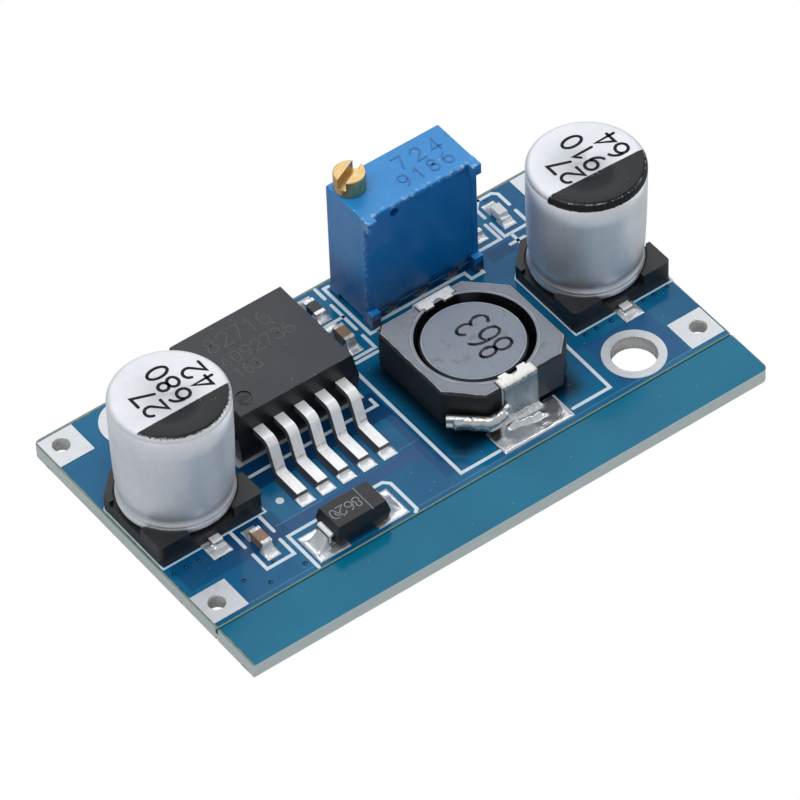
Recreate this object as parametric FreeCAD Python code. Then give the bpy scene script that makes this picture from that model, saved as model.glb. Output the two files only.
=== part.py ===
import FreeCAD, Part
import math
import os

# Step-down converter module with a multi-turn trimmer. Millimetres, Z up.
# The origin is midway between the two mounting holes, on the underside of the board.
# X runs along the board from the input end to the output end, Y towards the rear edge.

V = FreeCAD.Vector
ORIGIN = V(0, 0, 0)
X_AXIS = V(1, 0, 0)
Y_AXIS = V(0, 1, 0)
Z_AXIS = V(0, 0, 1)

# Board, with its break-off rail in front of a scored line
board_length = 43.0
board_width = 21.1
rail_width = 4.1
board_thickness = 1.1
board_corner_radius = 0.5
score_width = 0.24
score_depth = 0.2
copper = 0.05

# Mounting holes and the four wire pads
mounting_spacing_x = 30.35
mounting_spacing_y = 16.0
mounting_hole_radius = 1.65
mounting_ring_radius = 2.26
wire_pad_size = 2.8
wire_pad_end_margin = 0.15
wire_pad_rear_margin = 0.25
wire_pad_front_margin = 0.45
wire_hole_radius = 0.65
wire_hole_end_shift = 0.2
wire_hole_rear_shift = 0.25

# Regulator in a five-lead surface-mount power package
regulator_x = -6.8
regulator_front_y = 0.18
regulator_width = 9.95
regulator_depth = 8.55
regulator_height = 4.35
regulator_parting = 2.3
regulator_side_draft = 0.4
regulator_end_draft = 0.22
regulator_standoff = 0.1
regulator_mark_radius = 0.55
regulator_mark_depth = 0.1
regulator_mark_inset_x = 1.2
regulator_mark_inset_y = 1.35
regulator_edge_radius = 0.1
tab_thickness = 1.27
tab_width = 9.4
tab_reach = 1.3
tab_root_width = 8.0
tab_setback = 1.6
tab_chamfer = 0.6
lead_pitch = 1.7
lead_width = 0.8
lead_thickness = 0.5
lead_embed = 1.0
lead_shoulder = 1.4
lead_drop_run = 0.9
lead_foot = 2.5
lead_bend_radius = 0.45
lead_land_width = 1.15
lead_land_length = 3.2
lead_land_toe = 0.8
lead_joint_margin = 0.06
tab_land_side_margin = 0.25
tab_land_front_margin = 0.1
tab_land_rear_margin = 0.2

# Electrolytic capacitors
input_capacitor_x = -17.05
output_capacitor_x = 17.35
capacitor_y = 0.15
capacitor_base_size = 8.3
capacitor_base_floor = 0.9
capacitor_front_post_height = 1.75
capacitor_rear_post_height = 1.25
capacitor_post_width = 2.35
capacitor_corner_radius = 0.35
capacitor_base_chamfer = 1.7
capacitor_radius = 4.05
capacitor_height = 10.2
capacitor_bulge = 0.06
capacitor_groove = 0.25
capacitor_groove_height = 1.45
capacitor_rim_radius = 0.5
capacitor_foot_radius = 0.8
capacitor_groove_rise = 0.75
capacitor_groove_fall = 0.45
capacitor_seat_gap = 0.1
capacitor_lead_width = 0.8
capacitor_lead_thickness = 0.3
capacitor_lead_gap = 3.1
capacitor_lead_reach = 0.6
capacitor_land_width = 1.55
capacitor_land_reach = 1.4
input_land_shift_x = -0.28
input_land_shift_y = -0.2
capacitor_joint_height = 0.21
capacitor_joint_margin = 0.15

# Shielded inductor: ferrite ring, drum core, winding and two clips
inductor_x = 5.74
inductor_y = -2.73
shield_length_x = 9.9
shield_length_y = 9.75
shield_height = 3.0
shield_underside = 0.5
shield_bore_radius = 4.17
shield_corner_front_left = 2.2
shield_corner_front_right = 1.25
shield_corner_rear_right = 2.45
shield_corner_rear_left = 0.65
shield_edge_chamfer = 0.16
core_offset_x = -0.27
core_offset_y = -0.2
core_flange_radius = 3.7
core_flange_thickness = 0.9
core_foot_radius = 3.2
core_post_radius = 1.8
core_edge_chamfer = 0.12
winding_radius = 3.1
winding_clearance = 0.04
clip_width = 2.95
clip_thickness = 0.2
clip_proud = 0.1
clip_face_proud = 0.2
clip_lobe_reach = 0.25
clip_lobe_width = 2.2
clip_notch_radius = 0.46
clip_foot_length = 1.1
clip_bend_radius = 0.25
tail_radius = 0.3
tail_strand_step = 0.52
tail_root_radius = 0.2
tail_gap = 0.1
tail_rise = 1.1
tail_lift = 0.55
tail_setback = 0.75
tail_drop = 3.25
inductor_land_y = -2.72
inductor_land_width = 5.7
inductor_land_length = 2.35
inductor_land_spread = 14.5

# Diode with two wrap-under leads
diode_x = -9.05
diode_y = -8.81
diode_length = 4.3
diode_width = 2.6
diode_height = 2.1
diode_standoff = 0.25
diode_draft = 0.2
diode_lead_width = 1.4
diode_lead_thickness = 0.2
diode_lead_reach = 0.38
diode_lead_foot = 1.2
diode_lead_radius = 0.2
diode_lead_embed = 0.3
diode_joint_height = 0.7
diode_joint_margin = 0.3
diode_land_length = 2.5
diode_land_width = 2.65
diode_land_spread = 7.3

# Chip parts: two ceramic capacitors, two resistors and an indicator
chip_length = 1.6
chip_width = 0.8
chip_terminal = 0.32
chip_skin = 0.03
chip_waist_skin = 0.01
chip_edge_radius = 0.06
chip_joint_inset = 0.12
chip_joint_toe = 0.04
chip_land_width = 1.05
chip_land_length = 1.05
ceramic_land_spread = 3.2
resistor_land_spread = 2.75
ceramic_height = 0.8
resistor_height = 0.45
front_ceramic_x = -14.8
front_ceramic_y = -6.27
rear_ceramic_x = 0.55
rear_ceramic_y = 5.25
feedback_resistor_x = 0.55
feedback_resistor_y = 8.65
led_resistor_x = 13.55
led_resistor_y = 8.13
led_x = 16.0
led_y = 8.13
led_substrate_height = 0.25
led_lens_height = 0.38
led_lens_length = 1.16
led_lens_side_draft = 0.04
led_lens_end_draft = 0.08

# Multi-turn trimmer: housing
trimmer_left_x = 2.57
trimmer_rear_y = 9.57
trimmer_length = 9.51
trimmer_depth = 4.34
trimmer_height = 10.18
trimmer_standoff = 0.45
trimmer_rim_side = 0.5
trimmer_rim_end = 0.35
trimmer_pocket_depth = 1.75
trimmer_edge_radius = 0.12
nub_width = 0.75
nub_reach = 0.5
nub_height = 0.9
corner_boss_x = 3.0
corner_boss_z = 4.0
vent_radius = 0.38
vent_depth = 1.0
vent_edge = 0.75
vent_inset = 2.55
# Multi-turn trimmer: drive
screw_edge_x = 1.23
screw_edge_y = 1.14
screw_head_radius = 1.13
screw_head_height = 1.4
screw_slot_width = 0.66
screw_slot_depth = 0.75
screw_slot_angle = 25.0
screw_edge_radius = 0.08
screw_neck_radius = 0.5
screw_collar_radius = 0.7
screw_collar_height = 0.4
screw_collar_drop = 1.1
running_clearance = 0.05
worm_pitch_radius = 0.55
worm_shaft_radius = 0.35
worm_addendum = 0.16
worm_dedendum = 0.2
worm_half_turns = 7
thread_sink = 0.05
wheel_teeth = 30
wheel_module = 0.22
mesh_backlash = 0.06
pressure_angle = 20.0
wheel_face = 0.6
tooth_sink = 0.1
wheel_pocket_gap = 0.17
wheel_rear_gap = 0.1
wheel_hub_radius = 1.5
wheel_hub_cover = 0.35
pivot_radius = 0.8
pivot_length = 1.5
worm_chamber_gap = 0.1
pilot_depth = 0.5
# Multi-turn trimmer: electrical parts, seals and pins
element_thickness = 0.6
pocket_fit = 0.05
wiper_thickness = 0.12
wiper_arm_radius = 2.5
wiper_arm_width = 0.9
wiper_tip_length = 0.4
wiper_bend_radius = 0.15
wiper_disc_inset = 0.2
wiper_contact_gap = 0.02
seal_recess = 0.05
ring_section_radius = 0.18
pin_radius = 0.25
pin_pitch = 2.54
pin_upper = 2.6
pin_protrusion = 1.0
pin_hole_radius = 0.42
pin_slot_width = 0.9
pin_land_radius = 0.8
pin_tip_chamfer = 0.06
joint_cone_height = 0.7
joint_waist_radius = 0.44
joint_waist_drop = 0.315

# Solder
fillet_hollow = 0.85
toe_margin = 0.1
fillet_height = 0.42
lead_joint_height = 0.4
clip_joint_height = 0.9
clip_joint_reach = 0.8
clip_joint_margin = 0.2

board_rear = board_width / 2
score_y = -board_width / 2
board_front = score_y - rail_width
board_top = board_thickness
land_top = board_top + copper


def block(x0, x1, y0, y1, z0, z1):
    """Box between two corners."""
    return Part.makeBox(x1 - x0, y1 - y0, z1 - z0, V(x0, y0, z0))


def centred_block(x, y, length, width, z0, z1):
    """Box centred on a point of the plan."""
    return block(x - length / 2, x + length / 2, y - width / 2, y + width / 2, z0, z1)


def rod(radius, x, y, z0, z1):
    """Upright cylinder."""
    return Part.makeCylinder(radius, z1 - z0, V(x, y, z0), Z_AXIS)


def cross_rod(radius, x, z, y0, y1):
    """Cylinder along Y."""
    return Part.makeCylinder(radius, y1 - y0, V(x, y0, z), Y_AXIS)


def closed_wire(points):
    """Closed polygon through points."""
    return Part.makePolygon(points + [points[0]])


def plan_prism(points, z0, z1):
    """Upright prism over a polygon of (x, y) points."""
    face = Part.Face(closed_wire([V(x, y, z0) for x, y in points]))
    return face.extrude(V(0, 0, z1 - z0))


def front_prism(points, y0, y1):
    """Prism along Y over a polygon of (x, z) points."""
    face = Part.Face(closed_wire([V(x, y0, z) for x, z in points]))
    return face.extrude(V(0, y1 - y0, 0))


def turned(points, x, y):
    """Solid of revolution about an upright axis, from a closed profile of (radius, z) points."""
    face = Part.Face(closed_wire([V(x + r, y, z) for r, z in points]))
    return face.revolve(V(x, y, 0), Z_AXIS, 360)


def frustum(x, y, low_size, high_size, z0, z1):
    """Block between two rectangles, each given as (length, width), on one centre."""
    rings = []
    for (length, width), z in ((low_size, z0), (high_size, z1)):
        a, b = length / 2, width / 2
        corners = [(x - a, y - b), (x + a, y - b), (x + a, y + b), (x - a, y + b)]
        rings.append(closed_wire([V(u, v, z) for u, v in corners]))
    return Part.makeLoft(rings, True, True)


def bent_path(points, radius):
    """Open wire of straight runs with an arc at each inner point."""
    edges = []
    start = points[0]
    for before, corner, after in zip(points, points[1:], points[2:]):
        back = (before - corner).normalize()
        onward = (after - corner).normalize()
        half = back.getAngle(onward) / 2
        reach = radius / math.tan(half)
        first = corner + back * reach
        last = corner + onward * reach
        middle_way = (back + onward).normalize()
        middle = corner + middle_way * (radius / math.sin(half) - radius)
        edges.append(Part.LineSegment(start, first).toShape())
        edges.append(Part.Arc(first, middle, last).toShape())
        start = last
    edges.append(Part.LineSegment(start, points[-1]).toShape())
    return Part.Wire(edges)


def bent_strip(points, width, thickness, radius):
    """Flat strip bent in a plane that holds X or Y and Z; width lies across that plane."""
    run = (points[1] - points[0]).normalize()
    across = run.cross(Z_AXIS).normalize()
    up = across.cross(run)
    a, b = across * (width / 2), up * (thickness / 2)
    start = points[0]
    section = closed_wire([start - a - b, start + a - b, start + a + b, start - a + b])
    return bent_path(points, radius).makePipeShell([section], True, False)


def mitred_rod(points, rod_radius):
    """Round wire along straight runs that meet in mitres."""
    run = (points[1] - points[0]).normalize()
    section = Part.Wire(Part.makeCircle(rod_radius, points[0], run))
    return Part.makePolygon(points).makePipeShell([section], True, False, 1)


def edges_where(shape, test):
    """Edges whose middle point passes the test."""
    chosen = []
    for edge in shape.Edges:
        first, last = edge.ParameterRange
        if test(edge.valueAt((first + last) / 2)):
            chosen.append(edge)
    return chosen


def near(a, b):
    return abs(a - b) < 1e-4


def solder_wedge(face_at, toe_at, low, high, side0, side1, along_x):
    """Concave fillet from an upright face out to the toe of a land."""
    run, rise = toe_at - face_at, high - low
    slope = math.atan2(rise, abs(run))
    sagitta = math.hypot(run, rise) / 2 * math.tan(min(slope, math.pi / 2 - slope) / 2) * fillet_hollow
    inward = math.copysign(math.sin(slope) * sagitta, run)
    middle = ((face_at + toe_at) / 2 - inward, (low + high) / 2 - math.cos(slope) * sagitta)

    def at(u, z):
        return V(u, side0, z) if along_x else V(side0, u, z)

    edges = [
        Part.LineSegment(at(toe_at, low), at(face_at, low)).toShape(),
        Part.LineSegment(at(face_at, low), at(face_at, high)).toShape(),
        Part.Arc(at(face_at, high), at(*middle), at(toe_at, low)).toShape(),
    ]
    way = V(0, side1 - side0, 0) if along_x else V(side1 - side0, 0, 0)
    return Part.Face(Part.Wire(edges)).extrude(way)


def save(name, *solids):
    """Write one node, of one solid or of a group of separate solids."""
    shape = solids[0] if len(solids) == 1 else Part.makeCompound(list(solids))
    shape.exportStep("parts/" + name + ".step")


# Places worked out from the sizes above

mounting_points = [
    (-mounting_spacing_x / 2, mounting_spacing_y / 2),
    (mounting_spacing_x / 2, -mounting_spacing_y / 2),
]
wire_pad_x = board_length / 2 - wire_pad_end_margin - wire_pad_size / 2
wire_pad_rear_y = board_rear - wire_pad_rear_margin - wire_pad_size / 2
wire_pad_front_y = score_y + wire_pad_front_margin + wire_pad_size / 2
wire_pads = {
    "input_rear_pad": (-wire_pad_x, wire_pad_rear_y, wire_hole_rear_shift),
    "input_front_pad": (-wire_pad_x, wire_pad_front_y, 0.0),
    "output_rear_pad": (wire_pad_x, wire_pad_rear_y, wire_hole_rear_shift),
    "output_front_pad": (wire_pad_x, wire_pad_front_y, 0.0),
}
trimmer_x = trimmer_left_x + trimmer_length / 2
trimmer_front_y = trimmer_rear_y - trimmer_depth
trimmer_bottom = board_top + trimmer_standoff
trimmer_top = board_top + trimmer_height
pocket_floor_y = trimmer_front_y + trimmer_pocket_depth
element_front_y = pocket_floor_y - element_thickness
pin_y = element_front_y - pin_radius
pin_places = [trimmer_x + step * pin_pitch for step in (-1, 0, 1)]
screw_x = trimmer_left_x + screw_edge_x
screw_y = trimmer_rear_y - screw_edge_y
worm_lead = math.pi * wheel_module
wheel_pitch_radius = wheel_teeth * wheel_module / 2
wheel_x = screw_x + worm_pitch_radius + wheel_pitch_radius
wheel_z = (trimmer_bottom + trimmer_top) / 2
wheel_outer_radius = wheel_pitch_radius + worm_addendum
worm_outer_radius = worm_pitch_radius + worm_addendum
worm_half_length = worm_half_turns * worm_lead / 2
wheel_pocket_radius = wheel_outer_radius + wheel_pocket_gap
worm_chamber_radius = worm_outer_radius + worm_chamber_gap
rear_pocket_y = screw_y + worm_chamber_radius
chamber_top = trimmer_top - screw_collar_drop
chamber_bottom = wheel_z - worm_half_length - worm_chamber_gap


def wire_hole_centre(pad_x, pad_y, rear_shift):
    """Hole centre in a wire pad, nearer to the board's end than the pad's own centre."""
    return pad_x + math.copysign(wire_hole_end_shift, pad_x), pad_y + rear_shift


# Circuit board

def make_board():
    half = board_length / 2
    board = block(-half, half, board_front, board_rear, 0, board_top)
    rounded = edges_where(
        board,
        lambda p: near(p.z, board_top / 2) and (near(p.y, board_rear) or near(p.x, half)),
    )
    board = board.makeFillet(board_corner_radius, rounded)
    for surface, inward in ((board_top, -1), (0, 1)):
        groove = [
            V(-half, score_y - score_width / 2, surface),
            V(-half, score_y + score_width / 2, surface),
            V(-half, score_y, surface + inward * score_depth),
        ]
        board = board.cut(Part.Face(closed_wire(groove)).extrude(V(board_length, 0, 0)))
    for x, y in mounting_points:
        board = board.cut(rod(mounting_hole_radius, x, y, 0, board_top))
    for pad in wire_pads.values():
        x, y = wire_hole_centre(*pad)
        board = board.cut(rod(wire_hole_radius, x, y, 0, board_top))
    for x in pin_places:
        board = board.cut(rod(pin_hole_radius, x, pin_y, 0, board_top))
    return board


def make_wire_pad(x, y, rear_shift):
    """Square lands on the top and the underside, round one plated hole of finished size."""
    hole_x, hole_y = wire_hole_centre(x, y, rear_shift)
    lands = []
    for z in (board_top, -copper):
        land = centred_block(x, y, wire_pad_size, wire_pad_size, z, z + copper)
        lands.append(land.cut(rod(wire_hole_radius, hole_x, hole_y, z, z + copper)))
    return lands


def make_mounting_ring(x, y):
    """Round lands on the top and the underside, round one plated hole of finished size."""
    lands = []
    for z in (board_top, -copper):
        land = rod(mounting_ring_radius, x, y, z, z + copper)
        lands.append(land.cut(rod(mounting_hole_radius, x, y, z, z + copper)))
    return lands


# Regulator

regulator_y = regulator_front_y + regulator_depth / 2
regulator_rear_y = regulator_front_y + regulator_depth
regulator_base = land_top + regulator_standoff
regulator_split = land_top + regulator_parting
regulator_top = land_top + regulator_height
lead_places = [regulator_x + step * lead_pitch for step in (-2, -1, 0, 1, 2)]
lead_toe_y = regulator_front_y - lead_shoulder - lead_drop_run - lead_foot


def make_tab():
    """Heat-spreading tab: a plate under the body, wider and chamfered where it stands out at the rear."""
    root, wide = tab_root_width / 2, tab_width / 2
    start = regulator_front_y + tab_setback
    end = regulator_rear_y + tab_reach
    half_outline = [
        (root, start), (root, regulator_rear_y), (wide, regulator_rear_y),
        (wide, end - tab_chamfer), (wide - tab_chamfer, end),
    ]
    right = [(regulator_x + x, y) for x, y in half_outline]
    left = [(regulator_x - x, y) for x, y in reversed(half_outline)]
    return plan_prism(right + left, land_top, land_top + tab_thickness)


def make_lead(x):
    shoulder_z = regulator_split + lead_thickness / 2
    foot_z = land_top + lead_thickness / 2
    shoulder_y = regulator_front_y - lead_shoulder
    points = [
        V(x, regulator_front_y + lead_embed, shoulder_z),
        V(x, shoulder_y, shoulder_z),
        V(x, shoulder_y - lead_drop_run, foot_z),
        V(x, lead_toe_y, foot_z),
    ]
    return bent_strip(points, lead_width, lead_thickness, lead_bend_radius)


def make_regulator_body(tab, leads):
    wide = (regulator_width, regulator_depth)
    top = (regulator_width - 2 * regulator_side_draft, regulator_depth - 2 * regulator_end_draft)
    foot = (regulator_width - regulator_side_draft, regulator_depth - regulator_end_draft)
    lower = frustum(regulator_x, regulator_y, foot, wide, regulator_base, regulator_split)
    upper = frustum(regulator_x, regulator_y, wide, top, regulator_split, regulator_top)
    body = lower.fuse(upper)
    rim = edges_where(body, lambda p: near(p.z, regulator_top))
    body = body.makeFillet(regulator_edge_radius, rim)
    mark_x = regulator_x - top[0] / 2 + regulator_mark_inset_x
    mark_y = regulator_y - top[1] / 2 + regulator_mark_inset_y
    mark = rod(regulator_mark_radius, mark_x, mark_y, regulator_top - regulator_mark_depth, regulator_top)
    body = body.cut(mark).cut(tab)
    for lead in leads:
        body = body.cut(lead)
    return body


def make_regulator_joints():
    """Fillets at the toes of the five leads."""
    half = lead_width / 2 + lead_joint_margin
    toe_at = lead_toe_y - lead_land_toe + toe_margin
    high = land_top + lead_joint_height
    joints = []
    for x in lead_places:
        joints.append(solder_wedge(lead_toe_y, toe_at, land_top, high, x - half, x + half, False))
    return joints


# Electrolytic capacitors

def make_capacitor_lead(x, side):
    """Flat tinned lead in a groove of the base, side -1 at the front and 1 at the rear."""
    inner = capacitor_y + side * capacitor_lead_gap / 2
    outer = capacitor_y + side * (capacitor_base_size / 2 + capacitor_lead_reach)
    half = capacitor_lead_width / 2
    top = land_top + capacitor_lead_thickness
    lead = block(x - half, x + half, min(inner, outer), max(inner, outer), land_top, top)
    tip = edges_where(lead, lambda p: near(p.y, outer) and near(p.z, top))
    return lead.makeFillet(capacitor_lead_thickness / 2, tip)


def make_capacitor_base(x, leads):
    """Plate with four posts round the can: tall and rounded in front, low and cut off at the rear."""
    half = capacitor_base_size / 2
    cut = capacitor_base_chamfer
    outline = [
        (x - half, capacitor_y - half), (x + half, capacitor_y - half),
        (x + half, capacitor_y + half - cut), (x + half - cut, capacitor_y + half),
        (x - half + cut, capacitor_y + half), (x - half, capacitor_y + half - cut),
    ]
    floor = land_top + capacitor_base_floor
    post_top = land_top + capacitor_front_post_height
    rear_top = land_top + capacitor_rear_post_height
    base = plan_prism(outline, land_top, post_top)
    front_corners = edges_where(base, lambda p: near(abs(p.x - x), half) and near(p.y, capacitor_y - half))
    base = base.makeFillet(capacitor_corner_radius, front_corners)
    base = base.cut(block(x - half, x + half, capacitor_y, capacitor_y + half, rear_top, post_top))
    opening = capacitor_base_size - 2 * capacitor_post_width
    base = base.cut(centred_block(x, capacitor_y, opening, capacitor_base_size, floor, post_top))
    base = base.cut(centred_block(x, capacitor_y, capacitor_base_size, opening, floor, post_top))
    recess = capacitor_radius + capacitor_bulge + capacitor_seat_gap
    base = base.cut(rod(recess, x, capacitor_y, floor, post_top))
    for lead in leads:
        base = base.cut(lead)
    return base


def make_can(x):
    """Drawn can: rounded foot, bulge and crimp groove above it, straight wall and rounded rim."""
    floor = land_top + capacitor_base_floor
    top = land_top + capacitor_height
    r = capacitor_radius
    bulge = r + capacitor_bulge
    waist = r - capacitor_groove
    groove_z = floor + capacitor_groove_height
    rim, foot = capacitor_rim_radius, capacitor_foot_radius
    rim_turn = rim * (1 - math.sqrt(0.5))
    foot_turn = foot * (1 - math.sqrt(0.5))
    bulge_top = groove_z - capacitor_groove_fall
    wall_foot = groove_z + capacitor_groove_rise
    shoulder = top - rim

    def at(radius, z):
        return V(x + radius, capacitor_y, z)

    def line(start, end):
        return Part.LineSegment(at(*start), at(*end)).toShape()

    def arc(start, middle, end):
        return Part.Arc(at(*start), at(*middle), at(*end)).toShape()

    def bow(start, end, sag):
        """Arc between two points of the wall, bowed outwards by sag."""
        return arc(start, ((start[0] + end[0]) / 2 + sag, (start[1] + end[1]) / 2), end)

    edges = [
        line((0, floor), (bulge - foot, floor)),
        arc((bulge - foot, floor), (bulge - foot_turn, floor + foot_turn), (bulge, floor + foot)),
        line((bulge, floor + foot), (bulge, bulge_top)),
        bow((bulge, bulge_top), (waist, groove_z), -capacitor_bulge),
        bow((waist, groove_z), (r, wall_foot), capacitor_bulge),
        line((r, wall_foot), (r, shoulder)),
        arc((r, shoulder), (r - rim_turn, top - rim_turn), (r - rim, top)),
        line((r - rim, top), (0, top)),
        line((0, top), (0, floor)),
    ]
    return Part.Face(Part.Wire(edges)).revolve(at(0, 0), Z_AXIS, 360)


def make_capacitor_joints():
    """Fillets round the tips of the four capacitor leads."""
    half = capacitor_lead_width / 2 + capacitor_joint_margin
    high = land_top + capacitor_joint_height
    joints = []
    for x in (input_capacitor_x, output_capacitor_x):
        for side in (-1, 1):
            tip = capacitor_y + side * (capacitor_base_size / 2 + capacitor_lead_reach)
            toe = tip + side * (capacitor_land_reach - capacitor_lead_reach - toe_margin)
            joints.append(solder_wedge(tip, toe, land_top, high, x - half, x + half, False))
    return joints


# Inductor

shield_low = board_top + shield_underside
shield_high = shield_low + shield_height
core_x = inductor_x + core_offset_x
core_y = inductor_y + core_offset_y
core_low = land_top
clip_side_y = shield_length_y / 2


def make_clip():
    """Front clip: over the ring's top, down its front face and in under it, with a half-round notch."""
    half = clip_thickness / 2
    top_z = shield_high + clip_proud - half
    outer_y = inductor_y - clip_side_y - clip_face_proud + half
    inner_y = inductor_y - shield_bore_radius
    foot_z = land_top + half
    points = [
        V(inductor_x, inner_y, top_z),
        V(inductor_x, outer_y, top_z),
        V(inductor_x, outer_y, foot_z),
        V(inductor_x, outer_y + clip_foot_length, foot_z),
    ]
    clip = bent_strip(points, clip_width, clip_thickness, clip_bend_radius)
    lobe = block(
        inductor_x - clip_lobe_width / 2, inductor_x + clip_lobe_width / 2,
        inner_y - half, inner_y + clip_lobe_reach, top_z - half, top_z + half,
    )
    notch_y = inner_y + clip_lobe_reach
    notch = rod(clip_notch_radius, inductor_x, notch_y, top_z - half, top_z + half)
    return clip.fuse(lobe).cut(notch).removeSplitter()


def half_turn(shape):
    """Copy turned by half a turn about the inductor's upright centre line."""
    copy = shape.copy()
    copy.rotate(V(inductor_x, inductor_y, 0), Z_AXIS, 180)
    return copy


def make_shield(clips):
    """Ferrite ring: square with four unequal corners cut off, bored through, notched for the clips."""
    a, b = shield_length_x / 2, shield_length_y / 2
    fl, fr = shield_corner_front_left, shield_corner_front_right
    rr, rl = shield_corner_rear_right, shield_corner_rear_left
    outline = [
        (-a + fl, -b), (a - fr, -b), (a, -b + fr), (a, b - rr),
        (a - rr, b), (-a + rl, b), (-a, b - rl), (-a, -b + fl),
    ]
    ring = plan_prism([(inductor_x + x, inductor_y + y) for x, y in outline], shield_low, shield_high)
    rim = edges_where(ring, lambda p: near(p.z, shield_high))
    ring = ring.makeChamfer(shield_edge_chamfer, rim)
    ring = ring.cut(rod(shield_bore_radius, inductor_x, inductor_y, shield_low, shield_high))
    for clip in clips:
        ring = ring.cut(clip)
    return ring


def make_core():
    """Drum core: broad top flange, post, and a smaller foot flange."""
    top, edge = shield_high, core_edge_chamfer
    flange = top - core_flange_thickness
    foot = core_low + core_flange_thickness
    profile = [
        (0, core_low), (core_foot_radius, core_low), (core_foot_radius, foot), (core_post_radius, foot),
        (core_post_radius, flange), (core_flange_radius, flange), (core_flange_radius, top - edge),
        (core_flange_radius - edge, top), (0, top),
    ]
    return turned(profile, core_x, core_y)


def make_tail():
    """Front end of the winding: past the foot flange, under the ring, then two tinned strands outside."""
    under = (land_top + shield_low) / 2
    coil_z = core_low + core_flange_thickness + tail_radius
    face_y = inductor_y - clip_side_y
    tail_y = face_y - clip_face_proud - tail_radius
    tail_z = land_top + tail_rise
    exit_x = inductor_x - clip_width / 2 - tail_radius - tail_gap
    drop_y = inductor_y - tail_drop
    root = [
        V(exit_x, inductor_y - core_post_radius, coil_z),
        V(exit_x, drop_y, coil_z),
        V(exit_x, drop_y, under),
        V(exit_x, tail_y, under),
        V(exit_x, tail_y, tail_z),
    ]
    left_x = inductor_x - shield_length_x / 2
    outside = [
        V(left_x - tail_gap, face_y + shield_corner_front_left - tail_setback, tail_z),
        V(left_x + shield_corner_front_left - tail_gap, tail_y, tail_z),
        V(exit_x, tail_y, tail_z),
        V(inductor_x - clip_width / 2 + tail_radius, tail_y, tail_z + tail_lift),
    ]
    tail = mitred_rod(root, tail_root_radius)
    for rise in (0, tail_strand_step):
        tail = tail.fuse(mitred_rod([point + V(0, 0, rise) for point in outside], tail_radius))
    return tail


def make_winding():
    """Enamelled wire as one coil round the post, with a tinned tail out to each clip."""
    low = core_low + core_flange_thickness + winding_clearance
    high = shield_high - core_flange_thickness - winding_clearance
    coil = rod(winding_radius, core_x, core_y, low, high)
    coil = coil.cut(rod(core_post_radius + winding_clearance, core_x, core_y, low, high))
    tail = make_tail()
    return coil.fuse(tail).fuse(half_turn(tail))


def make_clip_joints():
    """Fillets at the feet of the inductor's clips."""
    face_at = inductor_y - clip_side_y - clip_face_proud
    half = clip_width / 2 + clip_joint_margin
    front = solder_wedge(
        face_at, face_at - clip_joint_reach, land_top, land_top + clip_joint_height,
        inductor_x - half, inductor_x + half, False,
    )
    return [front, half_turn(front)]


# Diode

diode_base = land_top + diode_standoff
diode_top = land_top + diode_height
diode_waist = (diode_base + diode_top) / 2


def make_diode_lead(side):
    """Strip out of the end at mid-height, down and under the body."""
    half = diode_lead_thickness / 2
    outer = diode_x + side * (diode_length / 2 + diode_lead_reach - half)
    foot_z = land_top + half
    points = [
        V(diode_x + side * (diode_length / 2 - diode_lead_embed), diode_y, diode_waist),
        V(outer, diode_y, diode_waist),
        V(outer, diode_y, foot_z),
        V(outer - side * diode_lead_foot, diode_y, foot_z),
    ]
    return bent_strip(points, diode_lead_width, diode_lead_thickness, diode_lead_radius)


def make_diode_body(leads):
    wide = (diode_length, diode_width)
    slim = (diode_length - 2 * diode_draft, diode_width - 2 * diode_draft)
    lower = frustum(diode_x, diode_y, slim, wide, diode_base, diode_waist)
    upper = frustum(diode_x, diode_y, wide, slim, diode_waist, diode_top)
    body = lower.fuse(upper)
    for lead in leads:
        body = body.cut(lead)
    return body


def make_diode_joints():
    """Fillets at the feet of the diode's leads."""
    half = diode_lead_width / 2 + diode_joint_margin
    joints = []
    for side in (-1, 1):
        face_at = diode_x + side * (diode_length / 2 + diode_lead_reach)
        toe_at = diode_x + side * (diode_land_spread / 2 - toe_margin)
        high = land_top + diode_joint_height
        joints.append(solder_wedge(face_at, toe_at, land_top, high, diode_y - half, diode_y + half, True))
    return joints


# Chip parts, each with its length along Y

def chip_terminals(x, y, height):
    """Two five-sided end caps."""
    ends = []
    core = chip_core(x, y, height)
    for side in (-1, 1):
        middle = y + side * (chip_length - chip_terminal) / 2
        cap = centred_block(x, middle, chip_width, chip_terminal, land_top, land_top + height)
        outer = edges_where(cap, lambda p: near(p.y, y + side * chip_length / 2))
        ends.append(cap.makeFillet(chip_edge_radius, outer).cut(core))
    return ends


def chip_core(x, y, height):
    """Ceramic body inside the end caps."""
    skin = chip_skin
    return centred_block(
        x, y, chip_width - 2 * skin, chip_length - 2 * skin, land_top + skin, land_top + height - skin
    )


def chip_body(x, y, height):
    """Ceramic body, full size between its caps."""
    skin = chip_waist_skin
    between = chip_length - 2 * chip_terminal
    waist = centred_block(x, y, chip_width - 2 * skin, between, land_top + skin, land_top + height - skin)
    return chip_core(x, y, height).fuse(waist).removeSplitter()


def chip_joints(x, y, spread):
    """Solder fillets at both ends."""
    half = chip_land_width / 2 - chip_joint_inset
    high = land_top + fillet_height
    wedges = []
    for side in (-1, 1):
        face_at = y + side * chip_length / 2
        toe_at = y + side * (spread / 2 - chip_joint_toe)
        wedges.append(solder_wedge(face_at, toe_at, land_top, high, x - half, x + half, False))
    return wedges


def make_led_lens():
    """Moulded lens on the substrate, drawn in towards its top."""
    low = land_top + led_substrate_height
    foot = (chip_width, led_lens_length)
    crown = (chip_width - 2 * led_lens_side_draft, led_lens_length - 2 * led_lens_end_draft)
    return frustum(led_x, led_y, foot, crown, low, low + led_lens_height)


# Trimmer

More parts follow.
